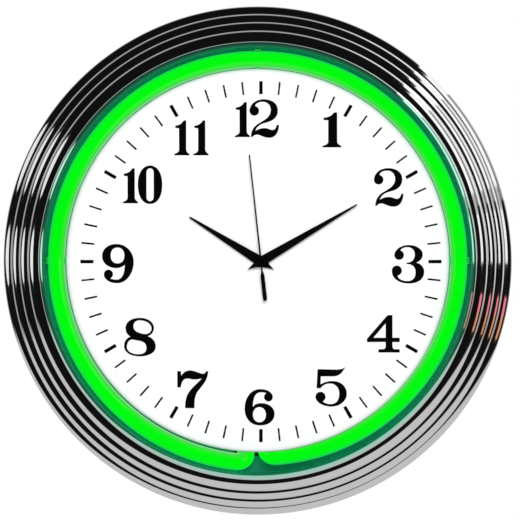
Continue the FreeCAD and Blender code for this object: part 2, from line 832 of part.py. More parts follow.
def tube_clips():
    """Open clips behind the tube, each on a foot on the tray."""
    half = CLIP_WIDTH / 2
    along = V(1, 0, 0)
    start = V(-half, TUBE_Y, RING_R)
    collar = rod(start, along, CLIP_WIDTH, CLIP_R)
    foot = block(-half, half, TUBE_Y + TUBE_R + 0.1, TRAY_FRONT,
                 RING_R - CLIP_FOOT_HALF, RING_R + CLIP_FOOT_HALF)
    bore = rod(start - along, along, CLIP_WIDTH + 2, TUBE_R + 0.1)
    reach = 1.5 * CLIP_R
    spread = math.tan(math.radians(CLIP_MOUTH)) * reach
    corners = [(0, 0), (-reach, spread), (-reach, -spread), (0, 0)]
    mouth = Part.makePolygon([start + V(-1, y, z) for y, z in corners])
    opening = Part.Face(mouth).extrude(V(CLIP_WIDTH + 2, 0, 0))
    pilot = disc(1.0, TRAY_FRONT - 3.5, TRAY_FRONT, 0, RING_R)
    clip = collar.fuse(foot).cut([bore, opening, pilot])
    return Part.makeCompound([turn(clip, angle) for angle in CLIP_ANGLES])


def pan_screw(x, z, seat_y, head_r, head_h, shank_r, tip_y):
    """A screw put in from behind: its head stands on seat_y and its tip is at tip_y."""
    head = disc(head_r, seat_y, seat_y + head_h, x, z)
    shank = disc(shank_r, tip_y, seat_y, x, z)
    back = seat_y + head_h
    slot = block(x - head_r, x + head_r, back - SLOT_DEPTH, back, z - SLOT_HALF, z + SLOT_HALF)
    return head.fuse(shank).cut(slot)


def screw_group(places, *sizes):
    return Part.makeCompound([pan_screw(x, z, *sizes) for x, z in places])


# ---------------------------------------------------------------- rear case and electrical parts
def supply_screw_places():
    x0, x1, y0, y1, z0, z1 = SUPPLY_BOX
    out = SUPPLY_EAR / 2
    return [(x, z) for x in (x0 - out, x1 + out) for z in (z0 + 8, z1 - 8)]


def keyhole(radius, slot_r, slot_length, y0, y1):
    """A round hole at the hanging point with a narrower slot above it."""
    slot = block(-slot_r, slot_r, y0, y1, HANG_Z, HANG_Z + slot_length)
    top = disc(slot_r, y0, y1, 0, HANG_Z + slot_length)
    return disc(radius, y0, y1, 0, HANG_Z).fuse([slot, top])


def rear_case():
    shell = turned(section([
        (0, 0), (165, 0), (168, -3), (176, CASE_FLANGE_Y), (CASE_FLANGE_R, CASE_FLANGE_Y),
        (CASE_FLANGE_R, TRAY_BACK), (0, TRAY_BACK),
    ]))
    shell = shell.cut(block(-100, 100, CASE_FLANGE_Y, 1, -200, PANEL_Z))
    hollow = turned(section([
        (0, -CASE_WALL), (162.8, -CASE_WALL), (165.4, -5), (173.5, TRAY_BACK), (0, TRAY_BACK),
    ]))
    hollow = hollow.cut(block(-100, 100, TRAY_BACK, 1, -200, PANEL_Z + CASE_WALL))
    outer = WELL_HALF + WELL_WALL
    well = block(ARBOR_X - outer, ARBOR_X + outer, TRAY_BACK, 0, ARBOR_Z - outer, ARBOR_Z + outer)
    hollow = hollow.cut(well)
    posts = [disc(3.5, SUPPLY_EAR_Y[1], 0, x, z) for x, z in supply_screw_places()]
    hollow = hollow.cut(Part.makeCompound(posts))
    case = shell.cut(hollow)
    cuts = [block(ARBOR_X - WELL_HALF, ARBOR_X + WELL_HALF, TRAY_BACK - 1, 1,
                  ARBOR_Z - WELL_HALF, ARBOR_Z + WELL_HALF)]
    cuts += [disc(1.1, SUPPLY_EAR_Y[1], -1.2, x, z) for x, z in supply_screw_places()]
    cuts.append(block(-20.2, 20.2, -PLATE_T, 1, HANG_Z - 14.2, HANG_Z + 20.2))
    cuts.append(keyhole(7.5, 4.5, 11.0, -CASE_WALL - 1, 0))
    cuts += [disc(RIVET_R, -CASE_WALL - 1, 0, x, z) for x, z in rivet_places()]
    slot = block(-VENT_HALF, VENT_HALF, -CASE_WALL - 1, 1, *VENT_RADII)
    for side in (-1, 1):
        cuts += [turn(slot, side * (FIRST_VENT + VENT_STEP * k)) for k in range(VENTS_PER_SIDE)]
    cuts.append(block(SWITCH_X - 9.6, SWITCH_X + 9.6, PANEL_Y - 6.6, PANEL_Y + 6.6,
                      PANEL_Z - 1, PANEL_Z + CASE_WALL + 1))
    cuts.append(Part.makeCylinder(INLET_R + 0.1, CASE_WALL + 2, V(INLET_X, PANEL_Y, PANEL_Z - 1)))
    return case.cut(cuts)


def clamp_ring():
    """The stepped ring that holds the case's flange and the tray against the rim's bosses."""
    outer_r = CASE_FLANGE_R + 0.2
    body = turned(section([
        (CLAMP_INNER_R, CASE_FLANGE_Y), (outer_r, CASE_FLANGE_Y), (outer_r, TRAY_BACK),
        (TRAY_R, TRAY_BACK), (TRAY_R, CLAMP_BACK), (CLAMP_INNER_R, CLAMP_BACK),
    ]))
    places = rim_screw_places()
    return body.cut([disc(TRAY_HOLE_R, TRAY_BACK - 1, CLAMP_BACK + 1, x, z) for x, z in places])


def rivet_places():
    return [(x, z) for x in (-15.5, 15.5) for z in (HANG_Z - 9, HANG_Z + 15)]


def hanger_plate():
    plate = block(-20, 20, -PLATE_T, 0, HANG_Z - 14, HANG_Z + 20)
    holes = [disc(RIVET_R, -2, 1, x, z) for x, z in rivet_places()]
    return plate.cut([keyhole(4.5, 1.9, 10.0, -2, 1)] + holes)


def hanger_rivets():
    rivets = []
    for x, z in rivet_places():
        head = disc(2.8, -CASE_WALL - 1, -CASE_WALL, x, z)
        rivets.append(head.fuse(disc(RIVET_R, -CASE_WALL, 0, x, z)))
    return Part.makeCompound(rivets)


def high_voltage_supply():
    x0, x1, y0, y1, z0, z1 = SUPPLY_BOX
    body = block(*SUPPLY_BOX)
    body = body.makeFillet(2.0, [e for e in body.Edges if abs(e.tangentAt(0).y) > 0.9])
    ear_spans = [(x0 - SUPPLY_EAR, x0), (x1, x1 + SUPPLY_EAR)]
    ears = [block(*span, *SUPPLY_EAR_Y, z0 + 3, z1 - 3) for span in ear_spans]
    holes = [disc(1.6, -10, -5, x, z) for x, z in supply_screw_places()]
    lip = block(x0 + 3, x1 - 3, y0 - 1, y0, z0 + 3, z1 - 3)
    return body.fuse(ears + [lip]).cut(holes)


def supply_screws():
    """Screws through the supply's ears, put in from the front."""
    seat_y = SUPPLY_EAR_Y[0]
    head_r, head_h = 2.8, 1.6
    screws = []
    for x, z in supply_screw_places():
        front = seat_y - head_h
        head = disc(head_r, front, seat_y, x, z)
        slot = block(x - head_r, x + head_r, front, front + SLOT_DEPTH, z - SLOT_HALF, z + SLOT_HALF)
        screws.append(head.fuse(disc(1.1, seat_y, -2.0, x, z)).cut(slot))
    return Part.makeCompound(screws)


def dc_inlet():
    """The low-voltage barrel socket: a flange outside the panel and a threaded body inside."""
    down = V(0, 0, -1)
    flange = Part.makeCylinder(7.5, 2.2, V(INLET_X, PANEL_Y, PANEL_Z), down)
    body = Part.makeCylinder(INLET_R, INLET_LENGTH, V(INLET_X, PANEL_Y, PANEL_Z + INLET_LENGTH), down)
    tail = Part.makeCylinder(4.5, 2, V(INLET_X, PANEL_Y, PANEL_Z + 16), down)
    socket = Part.makeCylinder(2.8, 10.2, V(INLET_X, PANEL_Y, PANEL_Z + 8), down)
    pin_hole = Part.makeCylinder(0.8, 2, V(INLET_X, PANEL_Y, PANEL_Z + 10), down)
    return flange.fuse([body, tail]).cut([socket, pin_hole])


def dc_inlet_pin():
    down = V(0, 0, -1)
    pin = Part.makeCylinder(1.05, 9.2, V(INLET_X, PANEL_Y, PANEL_Z + 8), down)
    return pin.fuse(Part.makeCylinder(0.8, 2.0, V(INLET_X, PANEL_Y, PANEL_Z + 10), down))


def hex_corners(across_flats):
    radius = across_flats / math.sqrt(3)
    return [offset((0, 0), radius, 60 * k) for k in range(6)]


def dc_inlet_nut():
    z = PANEL_Z + CASE_WALL
    corners = [V(INLET_X + x, PANEL_Y + y, z) for x, y in hex_corners(14.0)]
    nut = Part.Face(Part.makePolygon(corners + corners[:1])).extrude(V(0, 0, 2.5))
    return nut.cut(Part.makeCylinder(INLET_R, 6, V(INLET_X, PANEL_Y, z - 1)))


def terminal_blade(along, top):
    x, y = SWITCH_X + along, PANEL_Y
    return block(x - 0.4, x + 0.4, y - 3.2, y + 3.2, PANEL_Z + 8, top)


def switch_housing():
    x, y, z = SWITCH_X, PANEL_Y, PANEL_Z
    flange = block(x - 10.7, x + 10.7, y - 7.7, y + 7.7, z - 2, z)
    body = block(x - 9.5, x + 9.5, y - 6.5, y + 6.5, z, z + SWITCH_LENGTH)
    cavity = block(x - 8.6, x + 8.6, y - 5.8, y + 5.8, z - 3, z + 8)
    pivot = disc(1.25, y - 6.5, y + 6.5, x, ROCKER_Z)
    slots = [terminal_blade(s, z + SWITCH_LENGTH) for s in TERMINAL_XS]
    return flange.fuse(body).cut([cavity, pivot] + slots)


def switch_rocker():
    """A rocker with a shallow V face and round ends about its pivot, at rest in the on position."""
    def end_point(side, degrees):
        a = math.radians(degrees)
        return V(side * ROCKER_END_R * math.cos(a), 0, -ROCKER_END_R * math.sin(a))

    right = Part.Arc(end_point(1, 30), end_point(1, 10), end_point(1, -10)).toShape()
    left = Part.Arc(end_point(-1, -10), end_point(-1, 10), end_point(-1, 30)).toShape()
    foot = [V(3, 0, 3), V(-3, 0, 3)]
    valley = V(0, 0, -2.9)
    edges = [
        right,
        Part.LineSegment(end_point(1, -10), foot[0]).toShape(),
        Part.LineSegment(foot[0], foot[1]).toShape(),
        Part.LineSegment(foot[1], end_point(-1, -10)).toShape(),
        left,
        Part.LineSegment(end_point(-1, 30), valley).toShape(),
        Part.LineSegment(valley, end_point(1, 30)).toShape(),
    ]
    body = Part.Face(Part.Wire(edges)).extrude(V(0, 11.2, 0))
    body.translate(V(0, -5.6, 0))
    rocker = body.fuse(disc(1.2, -6.4, 6.4))
    rocker.rotate(V(0, 0, 0), Y_AXIS, ROCKER_TILT)
    rocker.translate(V(SWITCH_X, PANEL_Y, ROCKER_Z))
    return rocker


def switch_terminals():
    return Part.makeCompound([terminal_blade(s, PANEL_Z + TERMINAL_TIP) for s in TERMINAL_XS])


def low_voltage_leads():
    """The three leads behind the tray: inlet to switch, switch to supply, inlet to supply."""
    inlet_z = PANEL_Z + 16
    blade_z = PANEL_Z + TERMINAL_TIP
    supply_z = SUPPLY_BOX[4]
    return {
        "lead_inlet_to_switch": [
            V(28, -17, inlet_z), V(28, -17, -137), V(5, -11, -134), V(-25.5, -17, -131),
            V(-25.5, -17, blade_z),
        ],
        "lead_switch_to_supply": [
            V(-34.5, -17, blade_z), V(-34.5, -17, -126), V(-34, -13, -110), V(-34, -13, supply_z),
        ],
        "lead_inlet_to_supply": [
            V(32, -17, inlet_z), V(32, -17, -129), V(34, -13, -110), V(34, -13, supply_z),
        ],
    }


# ---------------------------------------------------------------- movement
ARBOR = (ARBOR_X, ARBOR_Z)


def centre_distance(mesh):
    return mesh[2] * (mesh[0] + mesh[1]) / 2


THIRD = offset(ARBOR, centre_distance(THIRD_MESH), THIRD_DIRECTION)
INTERMEDIATE = offset(ARBOR, centre_distance(INTERMEDIATE_MESH), INTERMEDIATE_DIRECTION)
ROTOR = offset(INTERMEDIATE, centre_distance(ROTOR_MESH), ROTOR_DIRECTION)
MOTION = offset(ARBOR, centre_distance(CANNON_MESH), MOTION_DIRECTION)
KNOB = offset(MOTION, centre_distance(CANNON_MESH), KNOB_DIRECTION)


def toothed(teeth, module, form, phase, y0, y1, centre):
    """A toothed disc with straight-sided teeth. Phase is the angle of one tooth from +X."""
    addendum, root_share = form
    pitch_r = teeth * module / 2
    pitch = 2 * math.pi / teeth
    tip_r = pitch_r + addendum * module
    root_r = pitch_r - DEDENDUM * module
    corners = []
    tooth = [(root_r, -root_share), (tip_r, -TIP_SHARE), (tip_r, TIP_SHARE), (root_r, root_share)]
    for k in range(teeth):
        for radius, share in tooth:
            a = phase + (k + share / 2) * pitch
            corners.append((centre[0] + radius * math.cos(a), centre[1] + radius * math.sin(a)))
    return slab(corners, y0, y1)


def mate_phase(phase, direction, teeth, mate_teeth):
    """The phase at which a mate in this direction has a gap where this wheel has a tooth."""
    a = math.radians(direction)
    pitch = 2 * math.pi / teeth
    mate_pitch = 2 * math.pi / mate_teeth
    return a + math.pi + mate_pitch * (0.5 - (phase - a) / pitch)


def lightened(wheel, centre, circle_r, hole_r, level):
    """A wheel with five round holes."""
    places = [offset(centre, circle_r, 72.0 * k) for k in range(5)]
    return wheel.cut([disc(hole_r, level[0] - 1, level[1] + 1, *place) for place in places])


# phases: the minute wheel starts the train, and each mate follows. Every wheel that is fixed to a
# pinion has its own phase 0.
THIRD_PINION_PHASE = mate_phase(0.0, THIRD_DIRECTION, THIRD_MESH[1], THIRD_MESH[0])
SECONDS_PINION_PHASE = mate_phase(0.0, THIRD_DIRECTION + 180, SECONDS_MESH[1], SECONDS_MESH[0])
INTERMEDIATE_PINION_PHASE = mate_phase(
    0.0, INTERMEDIATE_DIRECTION, INTERMEDIATE_MESH[1], INTERMEDIATE_MESH[0])
ROTOR_PHASE = mate_phase(0.0, ROTOR_DIRECTION, ROTOR_MESH[1], ROTOR_MESH[0])
MOTION_WHEEL_PHASE = mate_phase(0.0, MOTION_DIRECTION, CANNON_MESH[0], CANNON_MESH[1])
KNOB_PHASE = mate_phase(MOTION_WHEEL_PHASE, KNOB_DIRECTION, CANNON_MESH[1], CANNON_MESH[0])
HOUR_PHASE = mate_phase(0.0, MOTION_DIRECTION + 180, MOTION_MESH[0], MOTION_MESH[1])


def pinion_of(mesh, phase, level, centre):
    return toothed(mesh[0], mesh[2], PINION_FORM, phase, *level, centre)


def wheel_of(mesh, phase, level, centre):
    return toothed(mesh[1], mesh[2], WHEEL_FORM, phase, *level, centre)


def around_arbor(places):
    return [(ARBOR_X + x, ARBOR_Z + z) for x, z in places]


def movement_box(half, y0, y1):
    return block(ARBOR_X - half, ARBOR_X + half, y0, y1, ARBOR_Z - half, ARBOR_Z + half)


def movement_case():
    inner = MOVE_HALF - MOVE_WALL
    shell = movement_box(MOVE_HALF, MOVE_FRONT, COVER_FRONT)
    shell = shell.cut(movement_box(inner, MOVE_FLOOR, COVER_FRONT + 1))
    collar = disc(3.1, -56.5, MOVE_FRONT, *ARBOR)
    wall_z = ARBOR_Z + BATTERY_WALL_Z
    partition = block(ARBOR_X - inner, ARBOR_X + inner, MOVE_FLOOR, COVER_FRONT, wall_z, wall_z + 1)
    posts = [disc(1.5, MOVE_FLOOR, PLATE_FRONT, x, z) for x, z in around_arbor(POST_PLACES)]
    ears = []
    holes = [disc(HOUR_PIPE_R + RUN, -60, MOVE_FLOOR + 1, *ARBOR)]
    for side in (-1, 1):
        x0, x1 = sorted((ARBOR_X + side * MOVE_HALF, ARBOR_X + side * 37))
        ears.append(block(x0, x1, EAR_FRONT, EAR_BACK, ARBOR_Z - 4, ARBOR_Z + 4))
    holes += [disc(1.2, EAR_FRONT - 1, EAR_BACK + 1, x, z) for x, z in ear_places()]
    holes.append(disc(PIVOT_R + RUN, MOVE_FLOOR - 0.8, MOVE_FLOOR, *MOTION))
    holes.append(disc(PIVOT_R + RUN, MOVE_FLOOR - 0.8, MOVE_FLOOR, *KNOB))
    return shell.fuse([collar, partition] + posts + ears).cut(holes)


def middle_plate():
    inner = MOVE_HALF - MOVE_WALL - 0.3
    plate = block(ARBOR_X - inner, ARBOR_X + inner, PLATE_FRONT, PLATE_BACK,
                  ARBOR_Z + BATTERY_WALL_Z + 1.2, ARBOR_Z + inner)
    stator_posts = around_arbor([(6.6, 22.4), (24.4, 22.4)])
    board_posts = around_arbor([(-24.0, 13.0), (-7.0, 23.5)])
    posts = [disc(1.2, PLATE_BACK, STATOR_Y[0], x, z) for x, z in stator_posts]
    posts += [disc(1.2, PLATE_BACK, BOARD_Y[0], x, z) for x, z in board_posts]
    holes = [disc(CANNON_R + RUN, -50, -48, *ARBOR), disc(KNOB_ROD_R + RUN, -50, -48, *KNOB)]
    holes += [disc(PIVOT_R + RUN, -50, -48, *place) for place in (MOTION, THIRD, INTERMEDIATE, ROTOR)]
    return plate.fuse(posts).cut(holes)


def movement_back_cover():
    cover = movement_box(MOVE_HALF, COVER_FRONT, COVER_BACK)
    bay = block(ARBOR_X - 26, ARBOR_X + 26, COVER_FRONT - 1, COVER_BACK + 1,
                ARBOR_Z - 26.8, ARBOR_Z - 12.6)
    pivots = (ARBOR, THIRD, INTERMEDIATE, ROTOR)
    holes = [disc(PIVOT_R + RUN, COVER_FRONT, COVER_FRONT + 0.8, *place) for place in pivots]
    return cover.cut([bay, disc(KNOB_ROD_R + RUN, -40, -37, *KNOB)] + holes)


def arbor_rod(centre, front, rod_r=ARBOR_ROD_R):
    """A wheel's arbor from its front end to the back cover, with a finer pivot at the back."""
    rod_back = COVER_FRONT - 0.15
    pivot = disc(PIVOT_R, rod_back, COVER_FRONT + 0.6, *centre)
    return disc(rod_r, front, rod_back, *centre).fuse(pivot)


def plate_pivot(centre):
    """The front pivot of an arbor that starts behind the middle plate."""
    return disc(PIVOT_R, PLATE_FRONT + 0.1, PLATE_BACK + 0.15, *centre)


def hour_wheel():
    wheel = wheel_of(MOTION_MESH, HOUR_PHASE, HOUR_WHEEL_Y, ARBOR)
    wheel = lightened(wheel, ARBOR, 5.0, 1.2, HOUR_WHEEL_Y)
    pipe = disc(HOUR_PIPE_R, -59.5, HOUR_WHEEL_Y[1], *ARBOR)
    return wheel.fuse(pipe).cut(disc(CANNON_R + 0.06, -60, -50, *ARBOR))


def cannon_pinion():
    pinion = pinion_of(CANNON_MESH, 0.0, CANNON_PINION_Y, ARBOR)
    pipe = disc(CANNON_R, -61.1, -48.5, *ARBOR)
    bores = [disc(MINUTE_TUBE_R, -52.2, -48, *ARBOR), disc(SECONDS_ROD_R + 0.06, -62, -52, *ARBOR)]
    return pinion.fuse(pipe).cut(bores)


def minute_wheel():
    wheel = wheel_of(THIRD_MESH, 0.0, MINUTE_WHEEL_Y, ARBOR)
    wheel = lightened(wheel, ARBOR, 5.2, 1.6, MINUTE_WHEEL_Y)
    tube = disc(MINUTE_TUBE_R, -52.2, -47.2, *ARBOR)
    return wheel.fuse(tube).cut(disc(SECONDS_ROD_R + 0.06, -53, -47, *ARBOR))


def third_wheel():
    pinion = pinion_of(THIRD_MESH, THIRD_PINION_PHASE, THIRD_PINION_Y, THIRD)
    wheel = wheel_of(SECONDS_MESH, 0.0, MIDDLE_WHEEL_Y, THIRD)
    wheel = lightened(wheel, THIRD, 5.0, 1.5, MIDDLE_WHEEL_Y)
    return wheel.fuse([pinion, arbor_rod(THIRD, PLATE_BACK + 0.1), plate_pivot(THIRD)])


def seconds_wheel():
    pinion = pinion_of(SECONDS_MESH, SECONDS_PINION_PHASE, SECONDS_PINION_Y, ARBOR)
    wheel = wheel_of(INTERMEDIATE_MESH, 0.0, SECONDS_WHEEL_Y, ARBOR)
    wheel = lightened(wheel, ARBOR, 5.0, 1.5, SECONDS_WHEEL_Y)
    return wheel.fuse([pinion, arbor_rod(ARBOR, -62.6, SECONDS_ROD_R)])


def intermediate_wheel():
    pinion = pinion_of(INTERMEDIATE_MESH, INTERMEDIATE_PINION_PHASE, INTERMEDIATE_PINION_Y, INTERMEDIATE)
    wheel = wheel_of(ROTOR_MESH, 0.0, MIDDLE_WHEEL_Y, INTERMEDIATE)
    wheel = lightened(wheel, INTERMEDIATE, 3.7, 1.1, MIDDLE_WHEEL_Y)
    return wheel.fuse([pinion, arbor_rod(INTERMEDIATE, PLATE_BACK + 0.1), plate_pivot(INTERMEDIATE)])


def rotor_pinion():
    pinion = pinion_of(ROTOR_MESH, ROTOR_PHASE, ROTOR_PINION_Y, ROTOR)
    return pinion.fuse([arbor_rod(ROTOR, PLATE_BACK + 0.1), plate_pivot(ROTOR)])


def rotor_magnet():
    return ring(2.9, ARBOR_ROD_R, *MAGNET_Y, *ROTOR)


def motion_works_wheel():
    wheel = wheel_of(CANNON_MESH, MOTION_WHEEL_PHASE, MOTION_WHEEL_Y, MOTION)
    wheel = lightened(wheel, MOTION, 4.4, 1.2, MOTION_WHEEL_Y)
    pinion = pinion_of(MOTION_MESH, 0.0, MOTION_PINION_Y, MOTION)
    hub = disc(ARBOR_ROD_R, MOVE_FLOOR + 0.1, PLATE_FRONT - 0.1, *MOTION)
    pivots = disc(PIVOT_R, MOVE_FLOOR - 0.6, PLATE_BACK - 0.1, *MOTION)
    return wheel.fuse([pinion, hub, pivots])


def setting_knob():
    """The hand-setting knob on the movement's back, with the pinion that it turns."""
    pinion = pinion_of(CANNON_MESH, KNOB_PHASE, CANNON_PINION_Y, KNOB)
    shaft = disc(KNOB_ROD_R, MOVE_FLOOR + 0.15, -37.0, *KNOB)
    pivot = disc(PIVOT_R, MOVE_FLOOR - 0.6, MOVE_FLOOR + 1, *KNOB)
    grip = disc(5.0, -37.7, -34.6, *KNOB)
    flutes = [disc(0.55, -38, -34, *offset(KNOB, 5.2, 20.0 * k)) for k in range(18)]
    return grip.cut(flutes).fuse([shaft, pivot, pinion])


def stator():
    """The laminated frame round the rotor, whose upper bar is the coil's core."""
    y0, y1 = STATOR_Y

    def plate(x0, x1, z0, z1):
        return block(ARBOR_X + x0, ARBOR_X + x1, y0, y1, ARBOR_Z + z0, ARBOR_Z + z1)

    frame = plate(5.0, 26.0, 7.2, 23.6).cut(plate(8.2, 22.8, 16.2, 21.2))
    return frame.cut(disc(3.3, y0 - 1, y1 + 1, *ROTOR))


def on_core(radius, x0, x1):
    return Part.makeCylinder(radius, x1 - x0, V(ARBOR_X + x0, CORE_Y, ARBOR_Z + CORE_Z), V(1, 0, 0))


def coil_bobbin():
    core = block(ARBOR_X + 8, ARBOR_X + 23, *STATOR_Y, ARBOR_Z + 21.2, ARBOR_Z + 23.6)
    spool = on_core(1.7, 9.0, 22.0).fuse([on_core(3.1, 9.0, 9.8), on_core(3.1, 21.2, 22.0)])
    return spool.cut(core)


def coil_winding():
    return on_core(2.8, 9.8, 21.2).cut(on_core(1.7, 9.0, 22.0))


def circuit_board():
    board = block(ARBOR_X - 26, ARBOR_X - 5, *BOARD_Y, ARBOR_Z + 11, ARBOR_Z + 25.5)
    chip = disc(3.2, BOARD_Y[1], BOARD_Y[1] + 1.2, ARBOR_X - 12, ARBOR_Z + 16)
    return board.fuse(chip)


def quartz_crystal():
    axis = V(1, 0, 0)
    base = V(ARBOR_X - 19, -41.8, ARBOR_Z + 22.5)
    can = Part.makeCylinder(1.0, 6.0, base, axis)
    leads = [Part.makeCylinder(0.15, 2.0, base + V(-2, 0, side * 0.5), axis) for side in (-1, 1)]
    return can.fuse(leads)


def battery():
    base = V(ARBOR_X - 24.6, -45.7, ARBOR_Z - 19.6)
    along = V(1, 0, 0)
    can = Part.makeCylinder(7.0, 49.0, base, along)
    return can.fuse(Part.makeCylinder(2.7, 50.2, base, along))


def battery_positive_contact():
    return block(ARBOR_X + 25.7, ARBOR_X + 26.1, -50.0, -41.0, ARBOR_Z - 24, ARBOR_Z - 15)


def battery_negative_contact():
    """A plate with a springy tongue folded forward onto the battery's base."""
    x, z = ARBOR_X - 26.5, ARBOR_Z - 24
    outline = [(x, -50.0), (x + 1.8, -46.5), (x + 1.8, -44.5), (x + 1.4, -44.5), (x + 1.4, -46.3),
               (x + 0.4, -48.2), (x + 0.4, -41.0), (x, -41.0)]
    corners = [V(px, py, z) for px, py in outline]
    return Part.Face(Part.makePolygon(corners + corners[:1])).extrude(V(0, 0, 9))


# ---------------------------------------------------------------- hands
def lancet_hand(size, y0, y1, bore_r, collet_r, collet_back, angle):
    """A straight taper from root to tip with a hollow-sided pointed tail, on a short collet."""
    length, tip, root = size
    shoulder = HAND_SHOULDER
    waist = 0.42 * root

    def at(x, z):
        return V(ARBOR_X + x, y0, ARBOR_Z + z)

    edges = [
        Part.LineSegment(at(-root, shoulder), at(-tip, length)).toShape(),
        Part.LineSegment(at(-tip, length), at(tip, length)).toShape(),
        Part.LineSegment(at(tip, length), at(root, shoulder)).toShape(),
        Part.Arc(at(root, shoulder), at(waist, -6.2), at(0, -HAND_TAIL)).toShape(),
        Part.Arc(at(0, -HAND_TAIL), at(-waist, -6.2), at(-root, shoulder)).toShape(),
    ]
    blade = Part.Face(Part.Wire(edges)).extrude(V(0, y1 - y0, 0))
    collet = disc(collet_r, y0, collet_back, *ARBOR)
    hand = blade.fuse(collet).cut(disc(bore_r, y0 - 1, collet_back + 1, *ARBOR))
    return turn(hand, angle, *ARBOR)


def second_hand():
    """A needle with a round-ended counterweight bar."""
    length, tip, root = SECOND_HAND
    y0, y1 = -62.4, -62.1
    bar = WEIGHT_HALF
    bar_top, bar_low = WEIGHT_ENDS

    def at(x, z):
        return V(ARBOR_X + x, y0, ARBOR_Z + z)

    left = [at(-bar, bar_low), at(-bar, bar_top), at(-root, WEIGHT_NECK), at(-root, 0), at(-tip, length)]
    right = [at(tip, length), at(root, 0), at(root, WEIGHT_NECK), at(bar, bar_top), at(bar, bar_low)]
    corners = left + right
    edges = [Part.LineSegment(a, b).toShape() for a, b in zip(corners, corners[1:])]
    edges.append(Part.Arc(corners[-1], at(0, bar_low - bar), corners[0]).toShape())
    blade = Part.Face(Part.Wire(edges)).extrude(V(0, y1 - y0, 0))
    hub = disc(1.3, -62.9, -61.4, *ARBOR)
    hand = blade.fuse(hub).cut(disc(SECONDS_ROD_R, -62.6, -61, *ARBOR))
    return turn(hand, SECOND_ANGLE, *ARBOR)


# ---------------------------------------------------------------- build
def main():
    os.makedirs("parts", exist_ok=True)

    save("chrome_rim", chrome_rim())
    save("glass_lens", glass_lens())
    save("lens_gasket", lens_gasket())
    save("reflector_tray", reflector_tray())
    save("dial_plate", dial_plate())
    save("dial_numerals", dial_numerals())
    save("minute_track", minute_track())

    save("neon_tube", neon_tube())
    for name, side in (("left", -1), ("right", 1)):
        save(f"{name}_electrode", electrode(side))
        save(f"{name}_electrode_boot", electrode_boot(side))
        save(f"{name}_high_voltage_lead", hv_lead(side))
    save("tube_clips", tube_clips())
    save("clip_screws", screw_group(clip_places(), TRAY_BACK, 2.2, 1.5, 1.0, -39.0))

    save("rear_case", rear_case())
    save("clamp_ring", clamp_ring())
    save("hanger_plate", hanger_plate())
    save("hanger_rivets", hanger_rivets())
    save("rim_screws", screw_group(rim_screw_places(), CLAMP_BACK, 3.2, 1.8, 1.25, -45.0))
    save("dial_screws", screw_group(dial_screw_places(), TRAY_BACK, 2.8, 1.6, 1.1, -44.0))

    save("high_voltage_supply", high_voltage_supply())
    save("supply_screws", supply_screws())
    save("dc_inlet", dc_inlet())
    save("dc_inlet_pin", dc_inlet_pin())
    save("dc_inlet_nut", dc_inlet_nut())
    save("switch_housing", switch_housing())
    save("switch_rocker", switch_rocker())
    save("switch_terminals", switch_terminals())
    for name, points in low_voltage_leads().items():
        save(name, swept(rounded_path(points), LEAD_R))

    save("movement_case", movement_case())
    save("middle_plate", middle_plate())
    save("movement_back_cover", movement_back_cover())
    save("movement_screws", screw_group(ear_places(), EAR_BACK, 2.0, 1.4, 0.9, -53.0))
    save("hour_wheel", hour_wheel())
    save("cannon_pinion", cannon_pinion())
    save("minute_wheel", minute_wheel())
    save("third_wheel", third_wheel())
    save("seconds_wheel", seconds_wheel())
    save("intermediate_wheel", intermediate_wheel())
    save("rotor_pinion", rotor_pinion())
    save("rotor_magnet", rotor_magnet())
    save("motion_works_wheel", motion_works_wheel())
    save("setting_knob", setting_knob())
    save("stator", stator())
    save("coil_bobbin", coil_bobbin())
    save("coil_winding", coil_winding())
    save("circuit_board", circuit_board())
    save("quartz_crystal", quartz_crystal())
    save("battery", battery())
    save("battery_positive_contact", battery_positive_contact())
    save("battery_negative_contact", battery_negative_contact())

    save("hour_hand", lancet_hand(HOUR_HAND, -59.3, -58.8, HOUR_PIPE_R, 3.6, -57.9, HOUR_ANGLE))
    save("minute_hand", lancet_hand(MINUTE_HAND, -60.9, -60.4, CANNON_R, 2.6, -59.8, MINUTE_ANGLE))
    save("second_hand", second_hand())


main()
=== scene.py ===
import json
import math

import bmesh
import bpy
from mathutils import Matrix, Vector


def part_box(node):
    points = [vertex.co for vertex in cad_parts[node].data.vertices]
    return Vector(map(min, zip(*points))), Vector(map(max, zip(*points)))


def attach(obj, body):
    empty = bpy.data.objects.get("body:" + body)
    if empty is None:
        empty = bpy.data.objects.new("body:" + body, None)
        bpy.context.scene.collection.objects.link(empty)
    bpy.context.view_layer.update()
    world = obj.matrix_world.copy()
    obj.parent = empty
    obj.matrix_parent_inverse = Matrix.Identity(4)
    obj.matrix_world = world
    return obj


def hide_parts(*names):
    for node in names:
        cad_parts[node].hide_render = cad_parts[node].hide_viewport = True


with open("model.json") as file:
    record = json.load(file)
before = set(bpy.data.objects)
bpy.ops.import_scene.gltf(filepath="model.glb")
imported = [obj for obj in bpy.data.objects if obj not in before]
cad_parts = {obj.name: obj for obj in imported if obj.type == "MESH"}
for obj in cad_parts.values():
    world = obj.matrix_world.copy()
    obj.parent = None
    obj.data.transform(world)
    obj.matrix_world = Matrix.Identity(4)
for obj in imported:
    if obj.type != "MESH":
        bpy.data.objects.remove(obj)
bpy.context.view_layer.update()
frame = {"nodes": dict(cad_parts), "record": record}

# ---------------------------------------------------------------- sizes, in metres
RIM_LOW, RIM_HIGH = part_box("chrome_rim")
RIM_CENTRE = (RIM_LOW + RIM_HIGH) / 2
RIM_R = (RIM_HIGH.x - RIM_LOW.x) / 2
RIM_AXIS_FOOT = Vector((RIM_CENTRE.x, 0.0, RIM_CENTRE.z))    # where the rim's axis meets the wall
MM = 0.001


